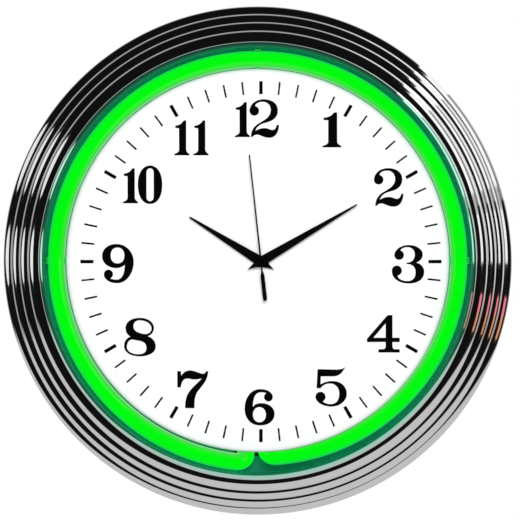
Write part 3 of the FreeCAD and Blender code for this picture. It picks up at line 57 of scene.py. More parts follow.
# ---------------------------------------------------------------- camera
CAMERA_DISTANCE = 12.0
CAMERA_AIM = Vector((1.7 * MM, 0.0, RIM_CENTRE.z + 0.4 * MM))
FRAME_MARGIN = 1.0240        # half the frame's width over the rim's radius
WIDEST_AT = 44.0 * MM        # how far in front of the wall the rim is at its widest


def make_camera():
    """A long lens square to the dial, far enough that the rim's depth hardly shows."""
    data = bpy.data.cameras.new("camera")
    camera = bpy.data.objects.new("camera", data)
    bpy.context.scene.collection.objects.link(camera)
    camera.location = CAMERA_AIM + Vector((0, -CAMERA_DISTANCE, 0))
    camera.rotation_euler = (math.radians(90), 0, 0)
    data.sensor_width = 36.0
    data.lens = data.sensor_width / 2 * (CAMERA_DISTANCE - WIDEST_AT) / (RIM_R * FRAME_MARGIN)
    data.clip_end = 5 * CAMERA_DISTANCE
    bpy.context.scene.camera = camera


# ---------------------------------------------------------------- studio
WALL_X = 2.0             # side walls of the room from the clock's middle
FLOOR_DROP = 1.5         # floor below the clock's middle
FLOOR_HALF = 4.0
FLOOR_LAMP_RISE = 0.4    # lamp that lights only the floor, above it

# how bright the parts of the room are that the chrome shows
FLOOR_LEVEL = 0.61
BACK_LEVEL = 0.42
BESIDE_LEVEL = 0.5
ROOM_LEVEL = 0.006
WHITE = (1.0, 1.0, 1.0)


def polar_direction(clock_degrees, off_axis_degrees):
    """A direction seen from the clock: off_axis is measured from straight in front of the dial."""
    c = math.radians(clock_degrees)
    a = math.radians(off_axis_degrees)
    return Vector((math.sin(a) * math.sin(c), -math.cos(a), math.sin(a) * math.cos(c)))


def area_lamp(name, width, height, radiance, colour=WHITE, shape="RECTANGLE"):
    """A flat lamp. Radiance is what a mirror would show of it."""
    area = width * height
    if shape == "ELLIPSE":
        area *= math.pi / 4
    data = bpy.data.lights.new(name, "AREA")
    data.shape = shape
    data.size = width
    data.size_y = height
    data.energy = radiance * math.pi * area
    data.color = colour
    lamp = bpy.data.objects.new(name, data)
    bpy.context.scene.collection.objects.link(lamp)
    lamp.visible_camera = False
    return lamp


def soft_box(name, clock_degrees, off_axis_degrees, distance, width, height, radiance):
    """A lamp that faces the clock and doesn't show in its chrome."""
    lamp = area_lamp(name, width, height, radiance)
    direction = polar_direction(clock_degrees, off_axis_degrees)
    lamp.location = RIM_CENTRE + direction * distance
    lamp.rotation_euler = (-direction).to_track_quat("-Z", "Y").to_euler()
    lamp.visible_glossy = False


def wall_window(name, side, y_span, z_span, radiance, colour=WHITE, shape="RECTANGLE"):
    """An upright lamp on the side wall of the room, right for side 1 and left for side -1."""
    lamp = area_lamp(name, y_span[1] - y_span[0], z_span[1] - z_span[0], radiance, colour, shape)
    middle = Vector((side * WALL_X, sum(y_span) / 2, sum(z_span) / 2))
    lamp.location = RIM_CENTRE + middle
    lamp.rotation_euler = Matrix(((0, 0, side), (side, 0, 0), (0, 1, 0))).to_euler()


class Tree:
    """What the world's and a material's node trees have in common."""

    def __init__(self, tree):
        self.nodes, self.links = tree.nodes, tree.links

    def maths(self, operation, first, second):
        """Maths on two values, of which the second may be a plain number."""
        node = self.nodes.new("ShaderNodeMath")
        node.operation = operation
        self.links.new(first, node.inputs[0])
        if isinstance(second, float):
            node.inputs[1].default_value = second
        else:
            self.links.new(second, node.inputs[1])
        return node.outputs[0]


class Sky(Tree):
    """Short calls for the maths that draws the room on the world's sphere."""

    def __init__(self, tree):
        super().__init__(tree)
        self.direction = self.nodes.new("ShaderNodeTexCoord").outputs["Generated"]

    def along(self, vector, low, high, level=1.0):
        """Rise from 0 to a level as the direction's share along a vector goes from low to high."""
        dot = self.nodes.new("ShaderNodeVectorMath")
        dot.operation = "DOT_PRODUCT"
        self.links.new(self.direction, dot.inputs[0])
        dot.inputs[1].default_value = vector
        rise = self.nodes.new("ShaderNodeMapRange")
        rise.interpolation_type = "SMOOTHSTEP"
        rise.inputs["From Min"].default_value = low
        rise.inputs["From Max"].default_value = high
        rise.inputs["To Max"].default_value = level
        self.links.new(dot.outputs["Value"], rise.inputs["Value"])
        return rise.outputs["Result"]

    def background(self):
        node = self.nodes.new("ShaderNodeBackground")
        node.inputs["Color"].default_value = (*WHITE, 1.0)
        return node


def make_world():
    """
    The room that the chrome shows: dark ahead and overhead, a pale floor that ends along three
    slanting edges, and pale behind, though not straight behind. The camera itself sees white.
    """
    world = bpy.data.worlds.new("studio")
    bpy.context.scene.world = world
    world.use_nodes = True
    world.node_tree.nodes.clear()
    sky = Sky(world.node_tree)
    nodes, links = sky.nodes, sky.links
    near_floor = sky.along((1.0, 1.0, -1.87), 0.0, 0.15)
    far_floor = sky.along((0.0, 1.0, -0.87), 0.0, 0.10)
    below = sky.along((0.0, 0.0, -1.0), 0.24, 0.34, FLOOR_LEVEL)
    right_edge = sky.along((-1.0, 0.58, -2.75), 0.0, 0.20)
    floor = sky.maths("MULTIPLY", sky.maths("MAXIMUM", near_floor, far_floor), below)
    floor = sky.maths("MULTIPLY", floor, right_edge)
    behind = sky.along((0.0, 1.0, 0.0), 0.08, 0.28, BACK_LEVEL)
    aslant = sky.along((0.0, -1.0, 0.0), -0.80, -0.55)    # 0 straight behind
    behind = sky.maths("MULTIPLY", behind, aslant)
    beside = sky.along((0.72, 0.54, 0.43), 0.74, 0.92, BESIDE_LEVEL)
    behind = sky.maths("ADD", behind, beside)
    level = sky.maths("MAXIMUM", sky.maths("MAXIMUM", floor, behind), ROOM_LEVEL)

    room = sky.background()
    links.new(level, room.inputs["Strength"])
    seen = sky.background()
    path = nodes.new("ShaderNodeLightPath")
    mix = nodes.new("ShaderNodeMixShader")
    links.new(path.outputs["Is Camera Ray"], mix.inputs["Fac"])
    links.new(room.outputs[0], mix.inputs[1])
    links.new(seen.outputs[0], mix.inputs[2])
    out = nodes.new("ShaderNodeOutputWorld")
    links.new(mix.outputs[0], out.inputs["Surface"])


def make_floor():
    """A pale floor with a lamp of its own. It is left out of the clock's light and reflections."""
    mesh = bpy.data.meshes.new("floor")
    height = RIM_CENTRE.z - FLOOR_DROP
    signs = ((-1, -1), (1, -1), (1, 1), (-1, 1))
    corners = [(x * FLOOR_HALF, y * FLOOR_HALF, height) for x, y in signs]
    mesh.from_pydata(corners, [], [(0, 1, 2, 3)])
    floor = bpy.data.objects.new("floor", mesh)
    bpy.context.scene.collection.objects.link(floor)
    floor.visible_glossy = False
    floor.visible_diffuse = False
    lamp = area_lamp("floor_lamp", 2 * FLOOR_HALF, 2 * FLOOR_HALF, 1.0)
    lamp.location = (0, 0, height + FLOOR_LAMP_RISE)
    pale = Surface("floor_paint")
    pale.set("Base Color", (0.86, 0.86, 0.85, 1.0))
    pale.set("Roughness", 0.9)
    mesh.materials.append(pale.material)


def make_lights():
    """Soft boxes light the dial and the back. The windows and cards are what the chrome mirrors."""
    # clock degrees, degrees off the axis, distance, width, height, radiance
    soft_box("key", 10, 20, 4.5, 2.4, 2.0, 12.6)
    soft_box("fill", 215, 25, 4.5, 2.0, 2.0, 5.9)
    soft_box("back", 330, 158, 3.0, 1.8, 1.2, 26.0)
    # side, y and z spans from the clock's middle, radiance, colour, shape
    wall_window("right_window", 1, (-3.5, -1.0), (0.62, 2.2), 1.1)
    wall_window("right_window_low", 1, (-3.7, -1.4), (-0.02, 0.42), 1.05)
    wall_window("right_window_mid", 1, (-3.6, -1.2), (0.42, 0.62), 0.5)
    wall_window("right_strip", 1, (-1.0, 2.6), (1.75, 2.4), 1.0)
    wall_window("right_wall", 1, (-1.0, 0.6), (0.5, 1.75), 0.27)
    wall_window("left_window_low", -1, (-2.0, -0.35), (-0.20, 0.28), 0.95, shape="ELLIPSE")
    wall_window("left_window_high", -1, (-2.1, -0.1), (0.58, 1.30), 0.9, shape="ELLIPSE")
    wall_window("pink_card", 1, (-1.7, -0.5), (-0.47, -0.30), 0.95, (1.0, 0.25, 0.33))
    wall_window("orange_card", 1, (-1.6, -0.5), (-0.66, -0.47), 0.75, (1.0, 0.40, 0.20))


def make_view():
    """Plain colours, and enough bounces for light to pass the lens and return from the chrome."""
    scene = bpy.context.scene
    scene.view_settings.view_transform = "Standard"
    scene.view_settings.look = "None"
    scene.cycles.max_bounces = 10
    scene.cycles.glossy_bounces = 6
    scene.cycles.transparent_max_bounces = 16


# ---------------------------------------------------------------- material helpers
class Surface(Tree):
    """A material with one Principled shader, and short calls that add procedural detail."""

    def __init__(self, name):
        self.material = bpy.data.materials.new(name)
        self.material.use_nodes = True
        super().__init__(self.material.node_tree)
        self.shader = self.nodes["Principled BSDF"]
        self.output = self.nodes["Material Output"]
        self.place = self.nodes.new("ShaderNodeTexCoord").outputs["Object"]
        self.bump_chain = None

    def set(self, socket, value):
        self.shader.inputs[socket].default_value = value

    def stretched(self, scale):
        """Places with each axis scaled, to draw a pattern out along one way."""
        mapping = self.nodes.new("ShaderNodeMapping")
        mapping.inputs["Scale"].default_value = scale
        self.links.new(self.place, mapping.inputs["Vector"])
        return mapping.outputs["Vector"]

    def noise(self, scale, detail=3.0, roughness=0.55, stretch=None):
        node = self.nodes.new("ShaderNodeTexNoise")
        node.inputs["Scale"].default_value = scale
        node.inputs["Detail"].default_value = detail
        node.inputs["Roughness"].default_value = roughness
        self.links.new(self.stretched(stretch) if stretch else self.place, node.inputs["Vector"])
        return node.outputs["Fac"]

    def cells(self, scale):
        node = self.nodes.new("ShaderNodeTexVoronoi")
        node.inputs["Scale"].default_value = scale
        self.links.new(self.place, node.inputs["Vector"])
        return node.outputs["Distance"]

    def bands(self, scale, axis, distortion=0.0):
        node = self.nodes.new("ShaderNodeTexWave")
        node.bands_direction = axis
        node.inputs["Scale"].default_value = scale
        node.inputs["Distortion"].default_value = distortion
        self.links.new(self.place, node.inputs["Vector"])
        return node.outputs["Fac"]

    def ramp(self, value, low, high, out_low=0.0, out_high=1.0):
        """Map a value between two levels to between two others."""
        node = self.nodes.new("ShaderNodeMapRange")
        node.inputs["From Min"].default_value = low
        node.inputs["From Max"].default_value = high
        node.inputs["To Min"].default_value = out_low
        node.inputs["To Max"].default_value = out_high
        self.links.new(value, node.inputs["Value"])
        return node.outputs["Result"]

    def vary(self, socket, value, low, high):
        """Drive a socket between two levels from a 0 to 1 pattern."""
        self.links.new(self.ramp(value, 0.25, 0.75, low, high), self.shader.inputs[socket])

    def colours(self, value, stops):
        """A colour that runs through stops, each a value from 0 to 1 and its colour."""
        node = self.nodes.new("ShaderNodeValToRGB")
        elements = node.color_ramp.elements
        for position, colour in stops[1:-1]:
            elements.new(position).color = (*colour, 1.0)
        for end, (position, colour) in ((elements[0], stops[0]), (elements[-1], stops[-1])):
            end.position = position
            end.color = (*colour, 1.0)
        self.links.new(value, node.inputs["Fac"])
        return node.outputs["Color"]

    def tint(self, value, colour_a, colour_b, low=0.3, high=0.7):
        """Drift the base colour between two colours."""
        colour = self.colours(value, [(low, colour_a), (high, colour_b)])
        self.links.new(colour, self.shader.inputs["Base Color"])

    def paint(self, socket, value, stops):
        """Drive a colour socket through stops."""
        self.links.new(self.colours(value, stops), self.shader.inputs[socket])

    def vector(self, operation, first, second=None):
        """Vector maths on one or two values, of which the second may be a plain vector."""
        node = self.nodes.new("ShaderNodeVectorMath")
        node.operation = operation
        self.links.new(first, node.inputs[0])
        if isinstance(second, (tuple, Vector)):
            node.inputs[1].default_value = second
        elif second:
            self.links.new(second, node.inputs[1])
        return node.outputs["Value" if operation in ("DOT_PRODUCT", "LENGTH") else "Vector"]

    def from_axis(self):
        """The vector square out from the rim's axis to the shaded point."""
        offset = self.vector("SUBTRACT", self.place, RIM_CENTRE)
        return self.vector("MULTIPLY", offset, (1.0, 0.0, 1.0))

    def bump(self, value, depth_mm, strength=1.0):
        """Add a bump pattern. Depth is the height that it stands for."""
        node = self.nodes.new("ShaderNodeBump")
        node.inputs["Strength"].default_value = strength
        node.inputs["Distance"].default_value = depth_mm * MM
        self.links.new(value, node.inputs["Height"])
        if self.bump_chain:
            self.links.new(self.bump_chain, node.inputs["Normal"])
        self.bump_chain = node.outputs["Normal"]
        self.links.new(self.bump_chain, self.shader.inputs["Normal"])


def shaded(colour, factor):
    return tuple(c * factor for c in colour)


# ---------------------------------------------------------------- materials
PAINTED_REFLECTION_RADII = (160.0 * MM, 167.0 * MM)    # radii between which the chrome's painted green reflection fades
DIAL_PAINTED_SHADE_RADII = (139.5 * MM, 143.9 * MM)         # radii between which painted grey-green shade darkens the dial's edge
DIAL_PAINTED_SHADE_WOBBLE = 0.1 * MM                        # how unevenly that painted shade starts
LENS_MIRROR = (0.02, 0.6)                    # share of light the lens mirrors, face on and edge on
LENS_STEEPNESS = 5.0
TRAY_SIDE_GLOW = (0.04, 2.6, 1.0, 1.0)
# the tube's glow, from its side towards the dial's middle to its side towards the rim: paler
# towards the dial as a painted glow spilling onto the dial, darker towards the rim as painted shade
TUBE_GLOW_AND_PAINTED_SHADING = [
    (0.0, (0.30, 0.66, 0.36)), (0.04, (0.195, 0.708, 0.231)), (0.095, (0.098, 0.738, 0.115)),
    (0.155, (0.045, 0.768, 0.045)), (0.325, (0.004, 0.956, 0.006)), (0.5, (0.0, 1.0, 0.002)),
    (0.79, (0.001, 0.973, 0.006)), (0.905, (0.007, 0.815, 0.041)), (1.0, (0.014, 0.50, 0.091)),
]


def chrome_plating():
    """Chrome plate. Its innermost roll has a painted reflection of the green that the lens throws
    on it, in its colour and as a faint painted glow.
    """
    s = Surface("chrome_plating")
    s.set("Metallic", 1.0)
    # painted green reflection and painted glow on the innermost roll, fading outwards
    fade = s.ramp(s.vector("LENGTH", s.from_axis()), *PAINTED_REFLECTION_RADII)
    s.paint("Base Color", fade, [
        (0.0, (0.30, 0.85, 0.62)), (0.4, (0.58, 0.82, 0.72)),
        (0.75, (0.84, 0.84, 0.83)), (1.0, (0.85, 0.85, 0.84)),
    ])
    s.paint("Emission Color", fade, [
        (0.0, (0.016, 0.15, 0.08)), (0.15, (0.012, 0.11, 0.06)),
        (0.45, (0.004, 0.03, 0.017)), (0.6, (0.0, 0.0, 0.0)),
    ])
    s.set("Emission Strength", 1.0)
    s.vary("Roughness", s.noise(60.0, 5.0), 0.035, 0.075)
    s.bump(s.noise(220.0, 2.0), 0.012, 0.25)
    return s.material


def clear_lens():
    """
    Clear pane: mostly see-through, with the faint gloss of glass and a trace of smudge. It mirrors
    more at a slant, alike on its two faces.
    """
    s = Surface("clear_lens")
    nodes, links = s.nodes, s.links
    nodes.remove(s.shader)
    clear = nodes.new("ShaderNodeBsdfTransparent")
    clear.inputs["Color"].default_value = (0.985, 0.99, 0.987, 1.0)
    gloss = nodes.new("ShaderNodeBsdfGlossy")
    links.new(s.ramp(s.noise(30.0, 4.0), 0.3, 0.8, 0.0, 0.05), gloss.inputs["Roughness"])
    slant = nodes.new("ShaderNodeLayerWeight")
    slant.inputs["Blend"].default_value = 0.5
    steep = s.maths("POWER", slant.outputs["Facing"], LENS_STEEPNESS)
    mix = nodes.new("ShaderNodeMixShader")
    links.new(s.ramp(steep, 0.0, 1.0, *LENS_MIRROR), mix.inputs["Fac"])
    links.new(clear.outputs[0], mix.inputs[1])
    links.new(gloss.outputs[0], mix.inputs[2])
    links.new(mix.outputs[0], s.output.inputs["Surface"])
    return s.material


def clear_clip():
    """Clear nylon, with the tube's green light painted into its colour and a painted green glow."""
    s = Surface("clear_clip")
    # painted green light from the tube, in the base colour
    s.tint(s.noise(200.0), (0.02, 0.30, 0.10), (0.03, 0.36, 0.12))
    s.set("Subsurface Weight", 0.6)
    s.set("Subsurface Scale", 0.004)
    s.set("Transmission Weight", 0.35)
    # painted glow: the clip gives off the tube's green, though it is no lamp
    s.set("Emission Color", (0.02, 0.80, 0.10, 1.0))
    s.set("Emission Strength", 0.35)
    s.vary("Roughness", s.noise(400.0), 0.25, 0.4)
    s.bump(s.noise(300.0), 0.03)
    return s.material


def moulded(name, colour, roughness, grain_scale, grain_mm, metallic=0.0):
    """Moulded plastic or rubber: a fine grain, a little sheen variation and faint colour drift."""
    s = Surface(name)
    s.set("Metallic", metallic)
    s.tint(s.noise(25.0, 4.0), shaded(colour, 0.9), shaded(colour, 1.1))
    s.vary("Roughness", s.noise(90.0, 5.0), roughness - 0.05, roughness + 0.07)
    s.bump(s.noise(grain_scale, 4.0), grain_mm)
    return s


def gasket_rubber():
    return moulded("gasket_rubber", (0.03, 0.03, 0.03), 0.6, 1500.0, 0.02).material


def tray_black():
    # the teal in this base colour is painted green light from the tube on a black tray
    s = moulded("tray_black", (0.012, 0.14, 0.105), 0.20, 500.0, 0.006)
    s.bump(s.noise(60.0, 2.0), 0.05)
    return s.material


def dial_white():
    """White enamel, with painted grey-green shade and painted glow of the tube's green towards its
    edge.
    """
    s = Surface("dial_white")
    radius = s.vector("LENGTH", s.from_axis())
    # painted shade tinted with the tube's green, darker towards the dial's edge
    cloud = s.ramp(s.noise(35.0, 5.0), 0.0, 1.0, -DIAL_PAINTED_SHADE_WOBBLE, DIAL_PAINTED_SHADE_WOBBLE)
    s.paint("Base Color", s.ramp(s.maths("ADD", radius, cloud), *DIAL_PAINTED_SHADE_RADII), [
        (0.0, (0.975, 0.965, 0.968)), (0.35, (0.90, 0.91, 0.905)),
        (0.7, (0.70, 0.78, 0.74)), (1.0, (0.48, 0.66, 0.52)),
    ])
    s.vary("Roughness", s.noise(150.0, 5.0), 0.42, 0.52)
    s.bump(s.noise(1800.0, 3.0), 0.006)
    s.set("Specular IOR Level", 0.3)
    return s.material


def dial_ink():
    s = Surface("dial_ink")
    s.tint(s.noise(900.0, 4.0), (0.0008, 0.0008, 0.0008), (0.0016, 0.0016, 0.0016))
    s.vary("Roughness", s.noise(700.0, 4.0), 0.55, 0.75)
    s.bump(s.noise(2500.0, 2.0), 0.01)
    s.set("Specular IOR Level", 0.05)
    return s.material


def neon_green():
    """
    Phosphor-coated glass, lit from inside. The glow pales towards the dial, a painted glow spilling
    onto the dial's edge, deepens towards the rim as painted shade, and is strongest where the bare
    glass faces the tray.
    """
    s = Surface("neon_green")
    s.set("Base Color", (0.0, 0.02, 0.002, 1.0))
    s.set("Roughness", 0.06)
    s.set("Specular IOR Level", 0.35)
    facing = s.nodes.new("ShaderNodeTexCoord").outputs["Normal"]
    outward = s.vector("NORMALIZE", s.from_axis())
    lean = s.vector("DOT_PRODUCT", facing, outward)
    # emission colour by facing: painted glow on the side towards the dial, painted shade towards
    # the rim
    glow = s.colours(s.ramp(lean, -1.0, 1.0), TUBE_GLOW_AND_PAINTED_SHADING)
    both = s.nodes.new("ShaderNodeMix")
    both.data_type = "RGBA"
    towards_tray = s.ramp(s.vector("DOT_PRODUCT", facing, (0.0, 1.0, 0.0)), 0.0, 0.4)
    s.links.new(towards_tray, both.inputs["Factor"])
    s.links.new(glow, both.inputs["A"])
    both.inputs["B"].default_value = TRAY_SIDE_GLOW
    s.links.new(both.outputs["Result"], s.shader.inputs["Emission Color"])
    s.vary("Emission Strength", s.noise(45.0, 3.0), 0.98, 1.03)
    s.bump(s.noise(120.0, 2.0), 0.01, 0.3)
    return s.material


def metal(name, colour, roughness, stretch=(1.0, 1.0, 1.0), scale=300.0, depth_mm=0.01):
    """Plain metal: fine scratches along one way, and patches of duller surface."""
    s = Surface(name)
    s.set("Metallic", 1.0)
    s.tint(s.noise(180.0, 4.0), shaded(colour, 0.82), colour)
    s.vary("Roughness", s.noise(240.0, 5.0), roughness - 0.06, roughness + 0.10)
    s.bump(s.noise(scale, 3.0, stretch=stretch), depth_mm)
    return s


def electrode_metal():
    return metal("electrode_metal", (0.55, 0.53, 0.49), 0.35).material


def boot_silicone():
    return moulded("boot_silicone", (0.05, 0.05, 0.055), 0.5, 900.0, 0.02).material


def hv_silicone():
    return moulded("hv_silicone", (0.78, 0.76, 0.70), 0.45, 900.0, 0.015).material


def case_black():
    s = moulded("case_black", (0.018, 0.018, 0.019), 0.52, 1400.0, 0.05)
    s.bump(s.cells(900.0), 0.06, 0.7)
    return s.material


def zinc_steel():
    s = metal("zinc_steel", (0.70, 0.71, 0.72), 0.28, stretch=(1.0, 1.0, 8.0))
    s.tint(s.noise(120.0, 5.0), (0.56, 0.60, 0.66), (0.74, 0.73, 0.68))
    return s.material


def supply_black():
    return moulded("supply_black", (0.02, 0.02, 0.022), 0.25, 120.0, 0.05).material


def switch_black():
    return moulded("switch_black", (0.02, 0.02, 0.021), 0.32, 2200.0, 0.02).material


def brass_blade():
    return metal("brass_blade", (0.80, 0.60, 0.26), 0.3, stretch=(1.0, 6.0, 1.0)).material


def lead_red():
    return moulded("lead_red", (0.50, 0.02, 0.015), 0.35, 700.0, 0.01).material


def lead_black():
    return moulded("lead_black", (0.02, 0.02, 0.02), 0.35, 700.0, 0.01).material


def movement_black():
    return moulded("movement_black", (0.03, 0.03, 0.032), 0.38, 1600.0, 0.03).material


def wheel_ivory():
    s = moulded("wheel_ivory", (0.80, 0.77, 0.66), 0.4, 1200.0, 0.01)
    s.set("Subsurface Weight", 0.15)
    s.set("Subsurface Scale", 0.001)
    return s.material


def cannon_brass():
    s = metal("cannon_brass", (0.83, 0.63, 0.28), 0.22)
    s.bump(s.bands(1800.0, "Y", 0.4), 0.004)
    return s.material


def ferrite():
    return moulded("ferrite", (0.05, 0.05, 0.055), 0.5, 3000.0, 0.02, metallic=0.2).material


def stator_iron():
    s = metal("stator_iron", (0.42, 0.42, 0.43), 0.4)
    s.bump(s.bands(4000.0, "Y"), 0.03)
    return s.material


def coil_copper():
    s = Surface("coil_copper")
    s.set("Metallic", 1.0)
    wire = s.bands(2600.0, "X", 0.8)
    s.tint(wire, (0.42, 0.13, 0.05), (0.85, 0.36, 0.16))
    s.vary("Roughness", s.noise(800.0), 0.22, 0.38)
    s.bump(wire, 0.06)
    return s.material


def bobbin_white():
    return moulded("bobbin_white", (0.82, 0.81, 0.76), 0.4, 1500.0, 0.015).material


def board_green():
    s = moulded("board_green", (0.015, 0.16, 0.06), 0.3, 900.0, 0.01)
    s.tint(s.bands(420.0, "X", 9.0), (0.010, 0.12, 0.045), (0.03, 0.24, 0.10), 0.45, 0.55)
    return s.material


def battery_jacket():
    """A plain shrink sleeve: a dark body with a copper-coloured band at the positive end."""
    s = Surface("battery_jacket")
    split = s.nodes.new("ShaderNodeSeparateXYZ")
    s.links.new(s.place, split.inputs[0])
    low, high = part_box("battery")
    band_at = low.x + (high.x - low.x) * 0.72
    edge = 0.2 * MM
    s.tint(s.ramp(split.outputs["X"], band_at - edge, band_at + edge),
           (0.012, 0.013, 0.014), (0.62, 0.30, 0.12), 0.4, 0.6)
    s.set("Metallic", 0.6)
    s.vary("Roughness", s.noise(300.0, 4.0), 0.2, 0.32)
    s.bump(s.noise(400.0, 2.0), 0.01)
    s.set("Coat Weight", 0.5)
    return s.material


def hand_black():
    s = Surface("hand_black")
    s.tint(s.noise(500.0, 4.0), (0.001, 0.001, 0.001), (0.002, 0.002, 0.002))
    s.vary("Roughness", s.noise(900.0, 4.0), 0.38, 0.52)
    s.bump(s.noise(1600.0, 3.0), 0.006)
    s.set("Specular IOR Level", 0.1)
    return s.material


MATERIALS = [
    chrome_plating, clear_lens, clear_clip, gasket_rubber, tray_black, dial_white, dial_ink,
    neon_green, electrode_metal, boot_silicone, hv_silicone, case_black, zinc_steel, supply_black,
    switch_black, brass_blade, lead_red, lead_black, movement_black, wheel_ivory, cannon_brass,
    ferrite, stator_iron, coil_copper, bobbin_white, board_green, battery_jacket, hand_black,
]


def paint_cad_nodes(materials):
    """Give every CAD node the detailed material of its slot."""
    for part in frame["record"]["subparts"]:
        node = frame["nodes"][part["node"]]
        material = materials[part["material_slot"]]
        for place in node.material_slots:
            place.material = material


# ---------------------------------------------------------------- rim
# Millimetres. Each bead is one arc, given by its outer radius and by how many degrees the surface
# leans outwards from straight ahead at its inner and at its outer edge.
LIP_R = 160.2
LIP_FRONT = -76.0
RIM_BEADS = [(164.6, 5, 88), (172.9, -8, 80), (179.2, -2, 85), (185.3, 0, 88), (190.5, 10, 55)]
SKIRT_Y = -32.0
RIM_WALL = 2.0
GROOVE_WALL = (1.4, 1.5)         # how far the inner surface passes inside and behind each groove
SEAT = (165.2, -70.3, -68.2)     # radius, front and back of the gasket's seat
SKIRT_FOLD = 0.5
BEAD_STEPS = 20
RIM_SEGMENTS = 480


def bead_points(edge_r, edge_y, bead):
    """One bead's arc from its inner edge outwards. The normal leans from one angle to the other."""
    outer_r, inner_lean, outer_lean = bead
    a, b = math.radians(inner_lean), math.radians(outer_lean)
    radius = (outer_r - edge_r) / (math.sin(b) - math.sin(a))
    centre_r = edge_r - radius * math.sin(a)
    centre_y = edge_y + radius * math.cos(a)
    leans = [a + (b - a) * k / BEAD_STEPS for k in range(BEAD_STEPS + 1)]
    return [(centre_r + radius * math.sin(t), centre_y - radius * math.cos(t)) for t in leans]


def rim_profile():
    """The rim's closed section, front and back."""
    points = [(LIP_R, LIP_FRONT)]
    grooves = []
    for bead in RIM_BEADS:
        points += bead_points(*points[-1], bead)[1:]
        grooves.append(points[-1])
    outer_r, edge_y = grooves[-1]
    inner_r = outer_r - RIM_WALL
    seat_r, seat_front, seat_back = SEAT
    points += [(outer_r, SKIRT_Y - SKIRT_FOLD), (outer_r - SKIRT_FOLD, SKIRT_Y)]
    points += [(inner_r + SKIRT_FOLD, SKIRT_Y), (inner_r, SKIRT_Y - SKIRT_FOLD)]
    points += [(inner_r, edge_y + GROOVE_WALL[1])]
    for r, y in reversed(grooves[1:4]):    # those between the gasket's seat and the skirt
        points.append((r - GROOVE_WALL[0], y + GROOVE_WALL[1]))
    points += [(seat_r, seat_back), (seat_r, seat_front), (LIP_R, seat_front)]
    return points


def closed_skin(name, hoops, crease_degrees):
    """A piece whose skin joins each hoop of points, in metres, to the next, and round again."""
    bm = bmesh.new()
    rings = [[bm.verts.new(point) for point in hoop] for hoop in hoops]
    for here, there in zip(rings, rings[1:] + rings[:1]):
        for j in range(len(here)):
            n = (j + 1) % len(here)
            bm.faces.new((here[j], here[n], there[n], there[j]))
    bmesh.ops.recalc_face_normals(bm, faces=bm.faces)
    for face in bm.faces:
        face.smooth = True
    mesh = bpy.data.meshes.new(name)
    bm.to_mesh(mesh)
    bm.free()
    mesh.set_sharp_from_angle(angle=math.radians(crease_degrees))
    piece = bpy.data.objects.new(name, mesh)
    bpy.context.scene.collection.objects.link(piece)
    return piece


def lathe(name, profile, segments, crease_degrees):
    """Turn a closed (radius, y) profile in millimetres about the rim's axis."""
    hoops = []
    for k in range(segments):
        a = 2 * math.pi * k / segments
        hoops.append([
            (RIM_CENTRE.x + r * MM * math.sin(a), y * MM, RIM_CENTRE.z + r * MM * math.cos(a))
            for r, y in profile
        ])
    return closed_skin(name, hoops, crease_degrees)


# ---------------------------------------------------------------- neon tube
# Millimetres from where the rim's axis meets the wall. The tube's left end is side -1, the right 1.
TUBE_Y = -49.0
TUBE_R = 6.5
TUBE_BORE_R = 5.5
RING_R = 150.8
END_RING_R = {-1: 151.9, 1: 147.2}   # the lower left quarter opens out, the right one closes in
LEG_X = {-1: -9.0, 1: 6.4}
BEND_R = 7.2
LEG_SLOPE = 35.0                     # degrees back from the dial
LEG_LENGTH = 26.0
BEND_STEPS = 16
LEG_STEPS = 4
QUARTER_STEPS = 84
UPPER_STEPS = 180
TUBE_SIDES = 40


def leg_points(side):
    """One end of the tube: the angle at which the ring stops, and its bend and leg to the tip."""
    slope = math.radians(LEG_SLOPE)
    direction = Vector((0, math.sin(slope), math.cos(slope)))
    ring_r = END_RING_R[side]
    middle_x = side * (RING_R - ring_r)
    start_x = LEG_X[side] + side * BEND_R
    for _ in range(8):    # moves the bend's start until the leg stands at its own x
        across = start_x - middle_x
        down = -math.sqrt(ring_r ** 2 - across ** 2)
        tangent = Vector((side * down, 0, -side * across)) / ring_r
        turn = math.acos(tangent.dot(direction))
        reach = BEND_R * math.tan(turn / 2)
        start_x = LEG_X[side] - tangent.x * reach
    start = Vector((start_x, TUBE_Y, down))
    inward = (direction - tangent * tangent.dot(direction)).normalized()
    bend = [start + tangent * (BEND_R * math.sin(a)) + inward * (BEND_R * (1 - math.cos(a)))
            for a in (turn * k / BEND_STEPS for k in range(1, BEND_STEPS + 1))]
    leg = [bend[-1] + direction * (LEG_LENGTH * k / LEG_STEPS) for k in range(1, LEG_STEPS + 1)]
    stop = math.degrees(math.atan2(across, down))
    return stop, bend + leg


def ring_points(middle_x, radius, first, last, steps):
    """Points of the ring between two angles in degrees from 12 o'clock."""
    angles = [math.radians(first + (last - first) * k / steps) for k in range(steps + 1)]
    return [Vector((middle_x + radius * math.sin(a), TUBE_Y, radius * math.cos(a))) for a in angles]


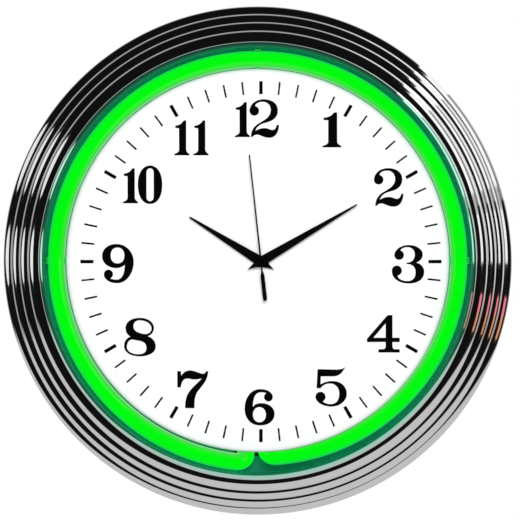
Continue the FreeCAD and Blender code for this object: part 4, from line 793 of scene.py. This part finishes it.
def tube_centreline():
    """Left leg, ring, right leg."""
    left_stop, left_end = leg_points(-1)
    right_stop, right_end = leg_points(1)
    left_x = END_RING_R[-1] - RING_R
    right_x = RING_R - END_RING_R[1]
    points = list(reversed(left_end))
    points += ring_points(left_x, END_RING_R[-1], left_stop, -90, QUARTER_STEPS)
    points += ring_points(0.0, RING_R, -90, 90, UPPER_STEPS)[1:]
    points += ring_points(right_x, END_RING_R[1], 90, right_stop, QUARTER_STEPS)[1:]
    return points + right_end


def sweep(name, points, outer_r, inner_r, sides, crease_degrees):
    """A hollow round tube along points in millimetres from where the rim's axis meets the wall."""
    ways = [(b - a).normalized() for a, b in zip(points, points[1:])]
    along = [ways[0]] + [(a + b).normalized() for a, b in zip(ways, ways[1:])] + [ways[-1]]
    normal = along[0].orthogonal().normalized()
    outer, inner = [], []
    for point, way in zip(points, along):
        normal = (normal - way * way.dot(normal)).normalized()
        other = way.cross(normal)
        angles = [2 * math.pi * k / sides for k in range(sides)]
        spokes = [normal * math.cos(a) + other * math.sin(a) for a in angles]
        outer.append([RIM_AXIS_FOOT + (point + n * outer_r) * MM for n in spokes])
        inner.append([RIM_AXIS_FOOT + (point + n * inner_r) * MM for n in spokes])
    return closed_skin(name, outer + inner[::-1], crease_degrees)


# ---------------------------------------------------------------- build
def finish_piece(piece, material, slot, body, *nodes):
    """Give a piece its material and let it stand for CAD nodes."""
    piece.data.materials.append(material)
    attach(piece, body)
    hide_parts(*nodes)


make_camera()
make_world()
make_floor()
make_lights()
make_view()

materials = {make.__name__: make() for make in MATERIALS}
paint_cad_nodes(materials)
rim_shell = lathe("rim_shell", rim_profile(), RIM_SEGMENTS, crease_degrees=30)
finish_piece(rim_shell, materials["chrome_plating"], "chrome_plating", "case", "chrome_rim")
centreline = tube_centreline()
tube_glass = sweep("tube_glass", centreline, TUBE_R, TUBE_BORE_R, TUBE_SIDES, crease_degrees=50)
finish_piece(tube_glass, materials["neon_green"], "neon_green", "case", "neon_tube")
